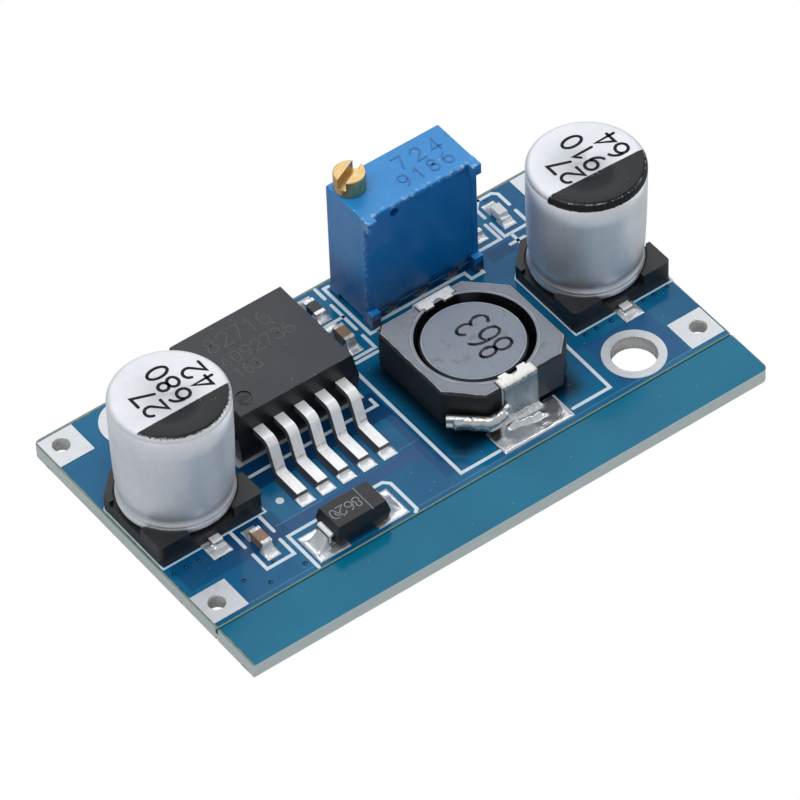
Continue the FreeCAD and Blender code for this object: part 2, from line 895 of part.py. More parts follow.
def trimmer_pocket(inset, y0, y1):
    """Space inside the front rim, less the corner that holds the worm; inset shrinks it all round."""
    left = trimmer_left_x + trimmer_rim_side + inset
    right = trimmer_left_x + trimmer_length - trimmer_rim_side - inset
    low = trimmer_bottom + trimmer_rim_end + inset
    high = trimmer_top - trimmer_rim_end - inset
    boss_x = trimmer_left_x + corner_boss_x + inset
    boss_z = trimmer_top - corner_boss_z - inset
    return front_prism([(left, low), (right, low), (right, high), (boss_x, high), (left, boss_z)], y0, y1)


def vent_bore():
    """Blind hole near the top of the front face, through the resin's edge."""
    x, z = trimmer_left_x + vent_inset, trimmer_top - vent_edge
    return cross_rod(vent_radius, x, z, trimmer_front_y - nub_reach, trimmer_front_y + vent_depth)


def make_housing():
    left, right = trimmer_left_x, trimmer_left_x + trimmer_length
    front, rear = trimmer_front_y, trimmer_rear_y
    housing = block(left, right, front, rear, trimmer_bottom, trimmer_top)
    housing = housing.makeFillet(trimmer_edge_radius, housing.Edges)
    for x0, x1 in ((left, left + nub_width), (right - nub_width, right)):
        nub_front = front - nub_reach
        upper = block(x0, x1, nub_front, front + nub_reach, trimmer_top - nub_height, trimmer_top)
        lower = block(x0, x1, nub_front, front + nub_reach, board_top, trimmer_bottom + nub_height)
        foot = block(x0, x1, rear - 2 * nub_reach, rear, board_top, trimmer_bottom + trimmer_rim_end)
        housing = housing.fuse(upper).fuse(lower).fuse(foot)
    housing = housing.cut(trimmer_pocket(0, front, pocket_floor_y))
    housing = housing.cut(cross_rod(wheel_pocket_radius, wheel_x, wheel_z, pocket_floor_y, rear_pocket_y))
    housing = housing.cut(rod(worm_chamber_radius, screw_x, screw_y, chamber_bottom, chamber_top))
    neck_hole = screw_neck_radius + running_clearance
    housing = housing.cut(rod(neck_hole, screw_x, screw_y, chamber_top, trimmer_top))
    seat_radius = neck_hole + 2 * ring_section_radius
    seat_top = chamber_top + 2 * ring_section_radius
    housing = housing.cut(rod(seat_radius, screw_x, screw_y, chamber_top, seat_top))
    pilot = worm_shaft_radius + running_clearance
    housing = housing.cut(rod(pilot, screw_x, screw_y, chamber_bottom - pilot_depth, chamber_bottom))
    housing = housing.cut(vent_bore())
    for x in pin_places:
        half = pin_slot_width / 2
        housing = housing.cut(block(
            x - half, x + half, front, pin_y + half, trimmer_bottom, trimmer_bottom + trimmer_rim_end
        ))
    pivot = cross_rod(pivot_radius, wheel_x, wheel_z, rear_pocket_y - pivot_length, rear_pocket_y)
    return housing.fuse(pivot).removeSplitter()


def make_screw():
    """Slotted head, neck, collar and worm in one turned piece, standing in a pilot hole."""
    head_low = trimmer_top + running_clearance
    head_top = head_low + screw_head_height
    collar_top = chamber_top - running_clearance
    collar_low = collar_top - screw_collar_height
    pilot_low = chamber_bottom - pilot_depth + running_clearance
    profile = [
        (0, pilot_low), (worm_shaft_radius, pilot_low),
        (worm_shaft_radius, collar_low), (screw_collar_radius, collar_low),
        (screw_collar_radius, collar_top), (screw_neck_radius, collar_top),
        (screw_neck_radius, head_low), (screw_head_radius, head_low),
        (screw_head_radius, head_top), (0, head_top),
    ]
    screw = turned(profile, screw_x, screw_y)
    rim = edges_where(
        screw,
        lambda p: near(p.z, head_top) and near(math.hypot(p.x - screw_x, p.y - screw_y), screw_head_radius),
    )
    screw = screw.makeFillet(screw_edge_radius, rim)
    slot_length = 3 * screw_head_radius
    slot = centred_block(0, 0, slot_length, screw_slot_width, head_top - screw_slot_depth, head_top)
    slot.rotate(ORIGIN, Z_AXIS, screw_slot_angle)
    slot.translate(V(screw_x, screw_y, 0))
    return screw.cut(slot).fuse(make_worm_thread())


def tooth_half_width(above_pitch_line):
    """Half the thickness of a worm thread or wheel tooth at a height over the pitch line."""
    slope = math.tan(math.radians(pressure_angle))
    return (worm_lead / 2 - 2 * mesh_backlash) / 2 - above_pitch_line * slope


def make_worm_thread():
    """Right-hand thread swept along a helix, with a gap facing the wheel at its middle."""
    low = wheel_z - worm_half_length
    inner = worm_shaft_radius - thread_sink
    root = tooth_half_width(inner - worm_pitch_radius)
    tip = tooth_half_width(worm_addendum)
    profile = closed_wire([
        V(inner, 0, -root), V(worm_outer_radius, 0, -tip), V(worm_outer_radius, 0, tip), V(inner, 0, root),
    ])
    helix = Part.Wire(Part.makeHelix(worm_lead, 2 * worm_half_length, worm_pitch_radius).Edges)
    thread = helix.makePipeShell([profile], True, True)
    thread.translate(V(screw_x, screw_y, low))
    return thread


def make_rotor():
    """Toothed wheel and hub on a blind pivot hole; a tooth points at the worm."""
    y0, y1 = screw_y - wheel_face / 2, screw_y + wheel_face / 2
    root_radius = wheel_pitch_radius - worm_dedendum
    foot = root_radius - tooth_sink
    root = tooth_half_width(-worm_dedendum)
    tip = tooth_half_width(worm_addendum)
    tooth = front_prism([
        (-foot, -root), (-foot, root), (-wheel_outer_radius, tip), (-wheel_outer_radius, -tip),
    ], y0, y1)
    rotor = cross_rod(root_radius, 0, 0, y0, y1)
    teeth = []
    for count in range(wheel_teeth):
        copy = tooth.copy()
        copy.rotate(ORIGIN, Y_AXIS, count * 360 / wheel_teeth)
        teeth.append(copy)
    rotor = rotor.multiFuse(teeth)
    hub_front = rear_pocket_y - pivot_length - wheel_hub_cover
    hub = cross_rod(wheel_hub_radius, 0, 0, hub_front, rear_pocket_y - wheel_rear_gap)
    rotor = rotor.fuse(hub)
    bore_end = rear_pocket_y - pivot_length - running_clearance
    rotor = rotor.cut(cross_rod(pivot_radius + running_clearance, 0, 0, bore_end, rear_pocket_y))
    rotor.translate(V(wheel_x, 0, wheel_z))
    return rotor


def make_wiper():
    """Sprung contact: a disc on the hub with an arm bent forward to the resistive element."""
    hub_front = rear_pocket_y - pivot_length - wheel_hub_cover
    disc_radius = wheel_hub_radius - wiper_disc_inset
    disc = cross_rod(disc_radius, wheel_x, wheel_z, hub_front - wiper_thickness, hub_front)
    half = wiper_thickness / 2
    contact_y = pocket_floor_y + wiper_contact_gap + half
    points = [
        V(wheel_x, hub_front - half, wheel_z),
        V(wheel_x, hub_front - half, wheel_z + wheel_hub_radius),
        V(wheel_x, contact_y, wheel_z + wiper_arm_radius),
        V(wheel_x, contact_y, wheel_z + wiper_arm_radius + wiper_tip_length),
    ]
    path = bent_path(points, wiper_bend_radius)
    a, b = wiper_arm_width / 2, half
    start = points[0]
    section = closed_wire([
        start + V(-a, -b, 0), start + V(a, -b, 0), start + V(a, b, 0), start + V(-a, b, 0),
    ])
    return disc.fuse(path.makePipeShell([section], True, False))


def make_o_ring():
    centre = V(screw_x, screw_y, chamber_top + ring_section_radius)
    torus_radius = screw_neck_radius + running_clearance / 2 + ring_section_radius
    return Part.makeTorus(torus_radius, ring_section_radius, centre, Z_AXIS)


def make_pin(x):
    pin_low = -pin_protrusion
    pin = rod(pin_radius, x, pin_y, pin_low, trimmer_bottom + pin_upper)
    tip = edges_where(pin, lambda p: near(p.z, pin_low))
    return pin.makeChamfer(pin_tip_chamfer, tip)


def make_seal(pins):
    """Cast resin that closes the front of the housing round the pins."""
    seal = trimmer_pocket(0, trimmer_front_y + seal_recess, element_front_y).cut(vent_bore())
    for pin in pins:
        seal = seal.cut(pin)
    return seal


def make_pin_joint(x):
    """Solder through the plated hole, with a land on each face and a cone round the pin's end."""
    land = pin_land_radius
    hole = pin_hole_radius
    profile = [
        (pin_radius, -joint_cone_height), (joint_waist_radius, -joint_waist_drop), (land, -copper), (land, 0),
        (hole, 0), (hole, board_top), (land, board_top), (land, land_top), (pin_radius, land_top),
    ]
    return turned(profile, x, pin_y)


# Lands under the surface-mount parts

def make_lands():
    lands = []

    def land(x, y, length, width):
        lands.append(centred_block(x, y, length, width, board_top, land_top))

    lead_land_y = lead_toe_y - lead_land_toe + lead_land_length / 2
    for x in lead_places:
        land(x, lead_land_y, lead_land_width, lead_land_length)
    tab_land_front = regulator_front_y - tab_land_front_margin
    tab_land_rear = regulator_rear_y + tab_reach + tab_land_rear_margin
    tab_land_width = regulator_width + 2 * tab_land_side_margin
    land(regulator_x, (tab_land_front + tab_land_rear) / 2, tab_land_width, tab_land_rear - tab_land_front)
    outer = capacitor_base_size / 2 + capacitor_land_reach
    inner = capacitor_lead_gap / 2
    for x, y in (
        (input_capacitor_x + input_land_shift_x, capacitor_y + input_land_shift_y),
        (output_capacitor_x, capacitor_y),
    ):
        for side in (-1, 1):
            land(x, y + side * (outer + inner) / 2, capacitor_land_width, outer - inner)
    for side in (-1, 1):
        middle = (inductor_land_spread - inductor_land_length) / 2
        land(inductor_x, inductor_land_y + side * middle, inductor_land_width, inductor_land_length)
    for side in (-1, 1):
        middle = diode_x + side * (diode_land_spread - diode_land_length) / 2
        land(middle, diode_y, diode_land_length, diode_land_width)
    for x, y, spread in chip_places:
        for side in (-1, 1):
            land(x, y + side * (spread - chip_land_length) / 2, chip_land_width, chip_land_length)
    return lands


chip_places = [
    (front_ceramic_x, front_ceramic_y, ceramic_land_spread),
    (rear_ceramic_x, rear_ceramic_y, ceramic_land_spread),
    (feedback_resistor_x, feedback_resistor_y, resistor_land_spread),
    (led_resistor_x, led_resistor_y, resistor_land_spread),
    (led_x, led_y, resistor_land_spread),
]


def make_all():
    os.makedirs("parts", exist_ok=True)

    save("circuit_board", make_board())
    for name, pad in wire_pads.items():
        save(name, *make_wire_pad(*pad))
    for name, (x, y) in zip(("mounting_ring_left", "mounting_ring_right"), mounting_points):
        save(name, *make_mounting_ring(x, y))
    save("component_lands", *make_lands())

    tab = make_tab()
    leads = [make_lead(x) for x in lead_places]
    save("regulator_body", make_regulator_body(tab, leads))
    save("regulator_tab", tab)
    for number, lead in enumerate(leads, 1):
        save("regulator_lead_%d" % number, lead)
    save("regulator_solder", *make_regulator_joints())

    for name, x in (("input_capacitor", input_capacitor_x), ("output_capacitor", output_capacitor_x)):
        front_lead, rear_lead = make_capacitor_lead(x, -1), make_capacitor_lead(x, 1)
        save(name + "_base", make_capacitor_base(x, (front_lead, rear_lead)))
        save(name + "_can", make_can(x))
        save(name + "_lead_front", front_lead)
        save(name + "_lead_rear", rear_lead)
    save("capacitor_solder", *make_capacitor_joints())

    clip_front = make_clip()
    clip_rear = half_turn(clip_front)
    save("inductor_shield", make_shield((clip_front, clip_rear)))
    save("inductor_core", make_core())
    save("inductor_winding", make_winding())
    save("inductor_clip_front", clip_front)
    save("inductor_clip_rear", clip_rear)
    save("inductor_solder", *make_clip_joints())

    anode, cathode = make_diode_lead(-1), make_diode_lead(1)
    save("diode_body", make_diode_body((anode, cathode)))
    save("diode_lead_left", anode)
    save("diode_lead_right", cathode)
    save("diode_solder", *make_diode_joints())

    for name, x, y, height in (
        ("front_ceramic", front_ceramic_x, front_ceramic_y, ceramic_height),
        ("rear_ceramic", rear_ceramic_x, rear_ceramic_y, ceramic_height),
        ("feedback_resistor", feedback_resistor_x, feedback_resistor_y, resistor_height),
        ("led_resistor", led_resistor_x, led_resistor_y, resistor_height),
    ):
        save(name + "_body", chip_body(x, y, height))
        save(name + "_terminals", *chip_terminals(x, y, height))
    save("led_terminals", *chip_terminals(led_x, led_y, led_substrate_height))
    save("led_substrate", chip_body(led_x, led_y, led_substrate_height))
    save("led_lens", make_led_lens())
    save("chip_solder", *[wedge for place in chip_places for wedge in chip_joints(*place)])

    pins = [make_pin(x) for x in pin_places]
    save("trimmer_housing", make_housing())
    save("trimmer_screw", make_screw())
    save("trimmer_rotor", make_rotor())
    save("trimmer_wiper", make_wiper())
    save("trimmer_element", trimmer_pocket(pocket_fit, element_front_y, pocket_floor_y))
    save("trimmer_seal", make_seal(pins))
    save("trimmer_o_ring", make_o_ring())
    for number, pin in enumerate(pins, 1):
        save("trimmer_pin_%d" % number, pin)
    save("trimmer_solder", *[make_pin_joint(x) for x in pin_places])


make_all()
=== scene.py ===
import math
import bpy
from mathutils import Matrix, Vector, noise


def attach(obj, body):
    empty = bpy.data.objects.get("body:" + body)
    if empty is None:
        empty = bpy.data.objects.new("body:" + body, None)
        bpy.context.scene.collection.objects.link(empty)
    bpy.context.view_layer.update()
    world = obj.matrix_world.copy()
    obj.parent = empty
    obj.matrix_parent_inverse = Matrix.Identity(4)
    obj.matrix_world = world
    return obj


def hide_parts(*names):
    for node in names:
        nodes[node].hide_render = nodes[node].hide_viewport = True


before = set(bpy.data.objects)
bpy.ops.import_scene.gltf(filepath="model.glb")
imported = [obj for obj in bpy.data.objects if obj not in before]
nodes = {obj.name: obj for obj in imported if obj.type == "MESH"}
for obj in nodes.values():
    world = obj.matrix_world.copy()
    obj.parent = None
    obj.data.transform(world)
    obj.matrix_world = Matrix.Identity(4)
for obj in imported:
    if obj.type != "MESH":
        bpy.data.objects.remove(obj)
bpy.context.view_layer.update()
MM = 0.001

# Places and sizes in the part's frame, millimetres
board_top = 1.1
land_top = 1.15
board_corner = (-21.5, -14.67, board_top)
score_y = -10.55
mounting_holes = ((-15.175, 8.0), (15.175, -8.0))
mounting_hole_radius = 1.65
wire_holes = [(x, y) for x in (-20.15, 20.15) for y in (9.15, -8.7)]
wire_hole_radius = 0.65
plating = 0.02

input_can_x, output_can_x, can_y = -17.05, 17.35, 0.15
can_foot, can_top = 2.07, 11.69
can_side, can_shoulder = 4.155, 0.42

regulator_top = (-6.8, 4.455, 5.5)
mould_mark = (-10.3, 1.45)
first_lead_x, lead_pitch, lead_count = -10.2, 1.7, 5

diode_x, diode_y, diode_top = -9.05, -8.81, 3.25

inductor_x, inductor_y = 5.74, -2.73
ring_half_x, ring_half_y, ring_bore = 4.95, 4.875, 4.17
# Side in x, side in y and cut of each of the ring's corners
ring_corners = ((-1, -1, 2.2), (1, -1, 1.25), (1, 1, 2.45), (-1, 1, 0.65))
core_x, core_y, core_top, core_radius = 5.47, -2.93, 4.6, 3.7
clip_half, clip_face = 1.475, 5.06
clip_land_x, clip_land_y = (2.76, 8.44), -2.72
clip_land_spread, clip_land_length = 14.5, 2.35

trimmer_top = 11.28


def rgb(code):
    """Linear colour from a hex code."""
    channels = [int(code[i:i + 2], 16) / 255 for i in (1, 3, 5)]
    return [*(c / 12.92 if c <= 0.04045 else ((c + 0.055) / 1.055) ** 2.4 for c in channels), 1.0]


def empty_tree(owner):
    """The node tree of a material or a world, emptied."""
    owner.use_nodes = True
    owner.node_tree.nodes.clear()
    return owner.node_tree


def add_node(tree, kind, inputs=None, **settings):
    """Adds a shader node, links or sets its inputs, and gives its outputs."""
    made = tree.nodes.new("ShaderNode" + kind)
    for key, value in settings.items():
        setattr(made, key, value)
    for key, value in (inputs or {}).items():
        if isinstance(value, bpy.types.NodeSocket):
            tree.links.new(value, made.inputs[key])
        else:
            made.inputs[key].default_value = value
    return made.outputs


class Paint:
    """A procedural material worked out from the place on the part, in millimetres."""

    def __init__(self, name):
        self.material = bpy.data.materials.new(name)
        self.tree = empty_tree(self.material)
        coords = add_node(self.tree, "TexCoord")
        self.at = self.node("VectorMath", {0: coords["Object"], 3: 1 / MM}, operation="SCALE")
        self.x, self.y, self.z = add_node(self.tree, "SeparateXYZ", {0: self.at})
        self.nx, self.ny, self.nz = add_node(self.tree, "SeparateXYZ", {0: coords["Normal"]})

    def node(self, kind, inputs, output=0, **settings):
        return add_node(self.tree, kind, inputs, **settings)[output]

    def plus(self, a, b):
        return self.node("Math", {0: a, 1: b}, operation="ADD")

    def minus(self, a, b):
        return self.node("Math", {0: a, 1: b}, operation="SUBTRACT")

    def larger(self, a, b):
        return self.node("Math", {0: a, 1: b}, operation="MAXIMUM")

    def size(self, a):
        return self.node("Math", {0: a}, operation="ABSOLUTE")

    def times(self, *factors):
        """The product; of masks, it is 1 only where all of them hold."""
        made = factors[0]
        for factor in factors[1:]:
            made = self.node("Math", {0: made, 1: factor}, operation="MULTIPLY")
        return made

    def step(self, value, low, high):
        """0 below low, 1 above high, smooth between; low may be the larger one."""
        flip = low > high
        inputs = {0: value, 1: min(low, high), 2: max(low, high), 3: float(flip), 4: float(not flip)}
        return self.node("MapRange", inputs, interpolation_type="SMOOTHSTEP")

    def stretch(self, x, y, z):
        """The place with each axis scaled, for grain that runs one way."""
        return self.node("VectorMath", {0: self.at, 1: (x, y, z)}, operation="MULTIPLY")

    def noise(self, scale, detail=4.0, rough=0.55, vector=None):
        inputs = {"Vector": vector or self.at, "Scale": scale, "Detail": detail, "Roughness": rough}
        return self.node("TexNoise", inputs)

    def cells(self, scale, vector=None):
        return self.node("TexVoronoi", {"Vector": vector or self.at, "Scale": scale})

    def layers(self, vector, **inputs):
        """Level bands stacked along Z."""
        return self.node("TexWave", {"Vector": vector, **inputs}, output=1, bands_direction="Z")

    def mix(self, share, a, b):
        """Colour a where share is 0, colour b where it is 1."""
        a, b = (rgb(c) if isinstance(c, str) else c for c in (a, b))
        return self.node("Mix", {0: share, 6: a, 7: b}, output=2, data_type="RGBA")

    def over(self, base, shade, *masks):
        """The base colour with a shade over it, as far as the masks let it through."""
        return self.mix(self.times(*masks), base, shade)

    def blend(self, share, a, b):
        """Number a where share is 0, number b where it is 1."""
        return self.node("Mix", {0: share, 2: a, 3: b}, output=0, data_type="FLOAT")

    def band(self, value, low, high, soft):
        """1 between low and high."""
        return self.times(self.step(value, low - soft, low + soft), self.step(value, high + soft, high - soft))

    def off(self, value, centre):
        """Distance of a value from centre."""
        return self.size(self.minus(value, centre))

    def radius(self, centre_x, centre_y):
        """Distance from an upright axis."""
        place = {0: self.minus(self.x, centre_x), 1: self.minus(self.y, centre_y), 2: 0.0}
        return self.node("VectorMath", {0: self.node("CombineXYZ", place)}, output=1, operation="LENGTH")

    def patch(self, x0, x1, y0, y1, soft=0.03):
        """1 inside a rectangle of the plan."""
        return self.times(self.band(self.x, x0, x1, soft), self.band(self.y, y0, y1, soft))

    def finish(self, colour, rough, height, metallic=0.0, distance=0.02, strength=0.6, **sockets):
        """Ends the material; height is bump in units of distance, which is in millimetres."""
        bump = self.node("Bump", {"Strength": strength, "Distance": distance * MM, "Height": height})
        inputs = {"Base Color": colour, "Roughness": rough, "Metallic": metallic, "Normal": bump, **sockets}
        add_node(self.tree, "OutputMaterial", {0: self.node("BsdfPrincipled", inputs)})
        return self.material


# Copper, track edges and fine scratches seen through the mask, and painted shadow in front of the input
# capacitor, as (shade, share, x0, x1, y0, y1)
copper_and_shadow_zones = [
    ("#0a3563", 0.8, -12.2, -0.9, -2.32, 0.23),
    ("#2a5484", 0.85, -16.4, -1.2, -6.62, -5.65),
    ("#133c6e", 0.75, -16.5, -13.2, -5.87, -4.07),
    ("#215083", 0.6, 12.9, 18.35, -9.97, -5.27),
    ("#123a66", 0.6, 12.9, 15.1, 4.73, 5.83),
    ("#0a3f72", 0.55, -1.6, -0.3, -9.17, -1.67),
    ("#1b7ba4", 0.35, -11.0, -7.5, -5.67, -2.32),
    # Painted shadow of the input capacitor on the mask in front of it
    ("#06406e", 0.6, -20.9, -12.6, -6.9, -4.3),
    ("#8fbdd0", 0.4, -13.2, -9.3, -5.68, -5.63),
    ("#8fbdd0", 0.35, -2.6, -1.3, -5.24, -5.19),
    ("#7fb0c6", 0.3, -18.4, 20.5, -10.09, -10.02),
]


def board_paint():
    """Blue mask over copper, with dust, a bare margin, painted shadow under and around the inductor and in
    front of the input capacitor, and the laminate's layers at the cut edges.
    """
    p = Paint("solder_mask")
    flat = p.step(p.size(p.nz), 0.6, 0.8)
    cloud = p.noise(0.16)
    grain = p.noise(9.0, 3.0)
    mask = p.mix(p.step(cloud, 0.35, 0.65), "#0b5a86", "#106a93")
    for shade, share, *place in copper_and_shadow_zones:
        mask = p.over(mask, shade, p.patch(*place), share)
    rail = p.mix(p.step(cloud, 0.3, 0.7), "#036a8a", "#087292")
    mask = p.mix(p.step(p.y, score_y + 0.1, score_y - 0.1), mask, rail)
    # Painted shadow on the top of the board under and around the inductor's ring
    painted_ring_shadow = p.patch(inductor_x - 5.7, inductor_x + 4.9, inductor_y - 5.7, inductor_y + 4.6, 0.8)
    mask = p.over(mask, "#020a12", painted_ring_shadow, p.step(p.nz, 0.5, 0.8), 0.9)
    mask = p.over(mask, "#9cc6d6", p.step(p.cells(1.3), 0.06, 0.03), 0.6)
    ragged = p.times(p.noise(2.4, 5.0, 0.7), 0.3)
    left = p.step(p.plus(p.x, ragged), -21.18, -21.22)
    rear = p.step(p.minus(p.y, ragged), 10.21, 10.26)
    right = p.step(p.minus(p.x, ragged), 21.27, 21.33)
    margin = p.larger(left, p.larger(rear, right))
    mask = p.mix(margin, mask, p.mix(grain, "#6d7765", "#a3ab96"))
    waves = {"Scale": 2.2, "Distortion": 1.2, "Detail": 3.0, "Detail Scale": 2.0}
    layer = p.layers(p.stretch(0.02, 0.02, 1.0), **waves)
    side = p.mix(p.step(layer, 0.2, 0.8), "#93a5a1", "#eef4f1")
    fibre = p.noise(4.0, 4.0, 0.65, p.stretch(1.0, 1.0, 6.0))
    side = p.over(side, "#fbfdfb", p.step(fibre, 0.5, 0.68), 0.55)
    chipped = p.step(p.noise(1.2, 4.0, 0.7), 0.44, 0.36)
    side = p.over(side, "#4e5a55", p.step(p.z, 0.2, 0.08), chipped, p.step(p.nx, -0.5, -0.9), 0.85)
    near_score = p.step(p.off(p.y, score_y), 0.17, 0.13)
    lip = p.mix(p.step(p.z, 0.96, 1.03), "#0c4658", p.mix(grain, "#6d9488", "#a9c4b4"))
    side = p.over(side, lip, near_score, p.step(p.z, 0.6, 0.7))
    colour = p.mix(flat, side, mask)
    dull = p.larger(margin, p.minus(1.0, flat))
    rough = p.blend(dull, p.blend(p.noise(0.5, 2.0), 0.09, 0.17), 0.72)
    height = p.plus(p.noise(1.1, 2.0), p.times(grain, p.blend(dull, 0.12, 1.4)))
    return p.finish(colour, rough, height, strength=0.3, **{"Specular IOR Level": 0.2})


def tin_paint(name, shades, rough, relief, metal):
    """Tinned copper, dark in the shadow between the regulator's leads."""
    p = Paint(name)
    cloud = p.noise(1.3, 4.0, 0.6)
    grain = p.noise(11.0, 4.0, 0.65)
    colour = p.mix(cloud, *shades)
    colour = p.over(colour, "#8d8f90", p.step(grain, 0.6, 0.75), 0.35)
    colour = p.over(colour, "#0c2740", p.patch(-11.0, -2.6, -4.55, 0.0), 0.92)
    height = p.plus(p.times(grain, 0.8), p.noise(3.0, 2.0))
    return p.finish(colour, p.blend(cloud, *rough), height, metallic=metal, distance=relief)


def lead_paint():
    """Tinned strip: bright flats, painted shade on its side walls, dark cut toes, creases and a few brown spots
    where it was bent.
    """
    p = Paint("lead_tin")
    cloud = p.noise(1.1, 4.0, 0.6)
    grain = p.noise(7.0, 4.0, 0.65)
    streak = p.noise(5.0, 3.0, 0.6, p.stretch(1.0, 0.2, 0.2))
    colour = p.mix(cloud, "#f0f1f2", "#ffffff")
    colour = p.over(colour, "#b3b6b9", p.step(streak, 0.52, 0.7), 0.25)
    colour = p.over(colour, "#9b9382", p.step(grain, 0.6, 0.7), 0.3)
    crease = p.times(p.band(p.z, 1.86, 1.98, 0.05), p.step(p.noise(4.0, 3.0, 0.7), 0.4, 0.55))
    colour = p.over(colour, "#6f6a60", crease, 0.6)
    # Painted shade on the side walls; the toe below is the dark bare cut end
    cut = p.step(p.size(p.nx), 0.7, 0.9)
    toe = p.times(p.step(p.ny, -0.8, -0.95), p.step(p.z, 1.75, 1.65))
    colour = p.over(colour, "#1b1d20", p.larger(cut, toe), 0.86)
    rough = p.blend(cloud, 0.24, 0.36)
    height = p.plus(p.times(grain, 0.5), cloud)
    return p.finish(colour, rough, height, metallic=0.3, distance=0.03, strength=0.5)


def clip_paint():
    """Tinned clip: painted light on the flat top, painted shade with a bluish painted reflection down its
    streaked wall, and painted shade along the top's edges.
    """
    p = Paint("clip_tin")
    wall = p.step(p.size(p.ny), 0.6, 0.85)
    cloud = p.noise(0.9, 4.0, 0.6)
    streak = p.noise(3.0, 4.0, 0.6, p.stretch(1.0, 1.0, 0.3))
    # Painted light: the flat top is a lit copy of the tin
    flat = p.mix(cloud, "#dededa", "#fafaf7")
    # Painted shade and a bluish painted reflection on the wall
    side = p.mix(streak, "#7c868e", "#c2cad0")
    spots = p.times(p.step(p.noise(2.6, 4.0, 0.7), 0.58, 0.66), p.step(p.z, 3.4, 2.2))
    side = p.mix(spots, side, "#453d33")
    colour = p.mix(wall, flat, side)
    bend = p.times(p.band(p.nz, 0.35, 0.8, 0.1), p.step(p.noise(3.4, 4.0, 0.7), 0.46, 0.56))
    colour = p.over(colour, "#6d6250", bend, 0.75)
    beside = p.off(p.x, inductor_x)
    # Painted shade along the edges of the top
    rim = p.step(beside, clip_half - 0.2, clip_half - 0.08)
    colour = p.over(colour, "#77726a", rim, p.step(p.nz, 0.6, 0.85), 0.35)
    colour = p.over(colour, "#57534c", p.step(p.noise(5.0), 0.6, 0.7), 0.35)
    colour = p.over(colour, "#4a3f30", wall, p.step(beside, clip_half - 0.16, clip_half - 0.04), 0.6)
    rough, metal = p.blend(cloud, 0.26, 0.44), p.blend(wall, 0.2, 0.85)
    return p.finish(colour, rough, p.plus(streak, cloud), metallic=metal, distance=0.04, strength=0.5)


def solder_paint(name, shades, rough, metal, relief):
    """Solder with traces of flux."""
    p = Paint(name)
    warp = p.noise(1.1, 3.0, 0.5)
    fine = p.noise(5.0, 3.0, 0.6)
    grain = p.noise(14.0, 2.0, 0.5)
    colour = p.mix(warp, *shades)
    colour = p.over(colour, "#7b7364", p.step(p.noise(0.8, 4.0, 0.7), 0.58, 0.7), 0.35)
    colour = p.over(colour, "#8d9093", p.step(grain, 0.58, 0.7), 0.4)
    height = p.plus(warp, p.times(fine, 0.5))
    return p.finish(colour, p.blend(fine, *rough), height, metallic=metal, distance=relief)


def can_paint(name, centre_x, chord_y, turn, wrap_z, shine):
    """Drawn aluminium with ink on the part of its top in front of a chord, worn at the shoulder where the bared
    metal also stands for a painted highlight, and painted shade at the groove.
    """
    p = Paint(name)
    local_x = p.minus(p.x, centre_x)
    local_y = p.minus(p.y, can_y)
    c, s = math.cos(turn), math.sin(turn)
    across = p.plus(p.times(local_x, s), p.times(local_y, c))
    wobble = p.times(p.minus(p.noise(7.0, 4.0, 0.7), 0.5), 0.3)
    chord = p.step(p.plus(across, p.times(wobble, 0.5)), chord_y + 0.03, chord_y - 0.03)
    wrap = p.step(p.plus(p.z, wobble), wrap_z - 0.04, wrap_z + 0.04)
    speckle = p.noise(13.0, 4.0, 0.7)
    # Wear at the shoulder that bares the metal, also a painted highlight line along the shoulder
    worn = p.times(p.band(p.nz, 0.76, 0.86, 0.05), p.step(p.noise(3.0, 5.0, 0.8), 0.5, 0.58), 0.5)
    ink = p.times(chord, wrap, p.minus(1.0, worn))
    cloud = p.noise(0.55)
    drawn = p.noise(3.0, 3.0, 0.5, p.stretch(1.0, 1.0, 0.08))
    up = p.step(p.nz, 0.6, 0.9)
    wall = p.mix(cloud, "#dfe2e7", "#f6f8fa")
    wall = p.over(wall, "#b4b8bf", p.step(drawn, 0.45, 0.8), 0.12)
    # Painted shade: a dark band on the inward curve of the groove
    low = p.plus(p.z, p.times(wobble, 2.0))
    wall = p.over(wall, "#6f727c", p.band(low, 3.1, 3.75, 0.3), 0.35)
    metal = p.mix(up, wall, p.mix(cloud, "#dcdee3", "#f4f6f8"))
    metal = p.over(metal, "#979ca3", p.step(speckle, 0.58, 0.68), 0.5)
    colour = p.mix(ink, metal, p.mix(speckle, "#06070c", "#10121a"))
    fleck = p.step(p.cells(1.6), 0.07, 0.04)
    colour = p.over(colour, "#8d929b", fleck, ink, 0.7)
    rough = p.blend(ink, p.blend(up, p.blend(speckle, 0.4, 0.52), 0.62), 0.26)
    height = p.plus(p.times(speckle, 0.7), p.times(drawn, 0.3))
    height = p.plus(height, p.times(ink, 0.9))
    return p.finish(colour, rough, height, metallic=p.blend(ink, shine, 0.0), distance=0.012, strength=0.5,
                    **{"Specular IOR Level": 0.3})


def moulding_paint():
    """Black moulding compound, with a painted highlight in patches along its rounded edges."""
    p = Paint("black_moulding")
    cloud = p.noise(0.9)
    grain = p.noise(16.0, 3.0, 0.6)
    colour = p.mix(cloud, "#0e1013", "#191b1f")
    colour = p.over(colour, "#4b4f55", p.step(grain, 0.6, 0.72), 0.3)
    # Painted highlight in patches along the rounded edges
    edge = p.times(p.band(p.nz, 0.35, 0.85, 0.12), p.step(p.noise(1.4, 4.0, 0.6), 0.35, 0.6), 0.6)
    colour = p.mix(edge, colour, "#50545b")
    return p.finish(colour, p.blend(cloud, 0.34, 0.5), p.plus(grain, cloud), strength=0.5)


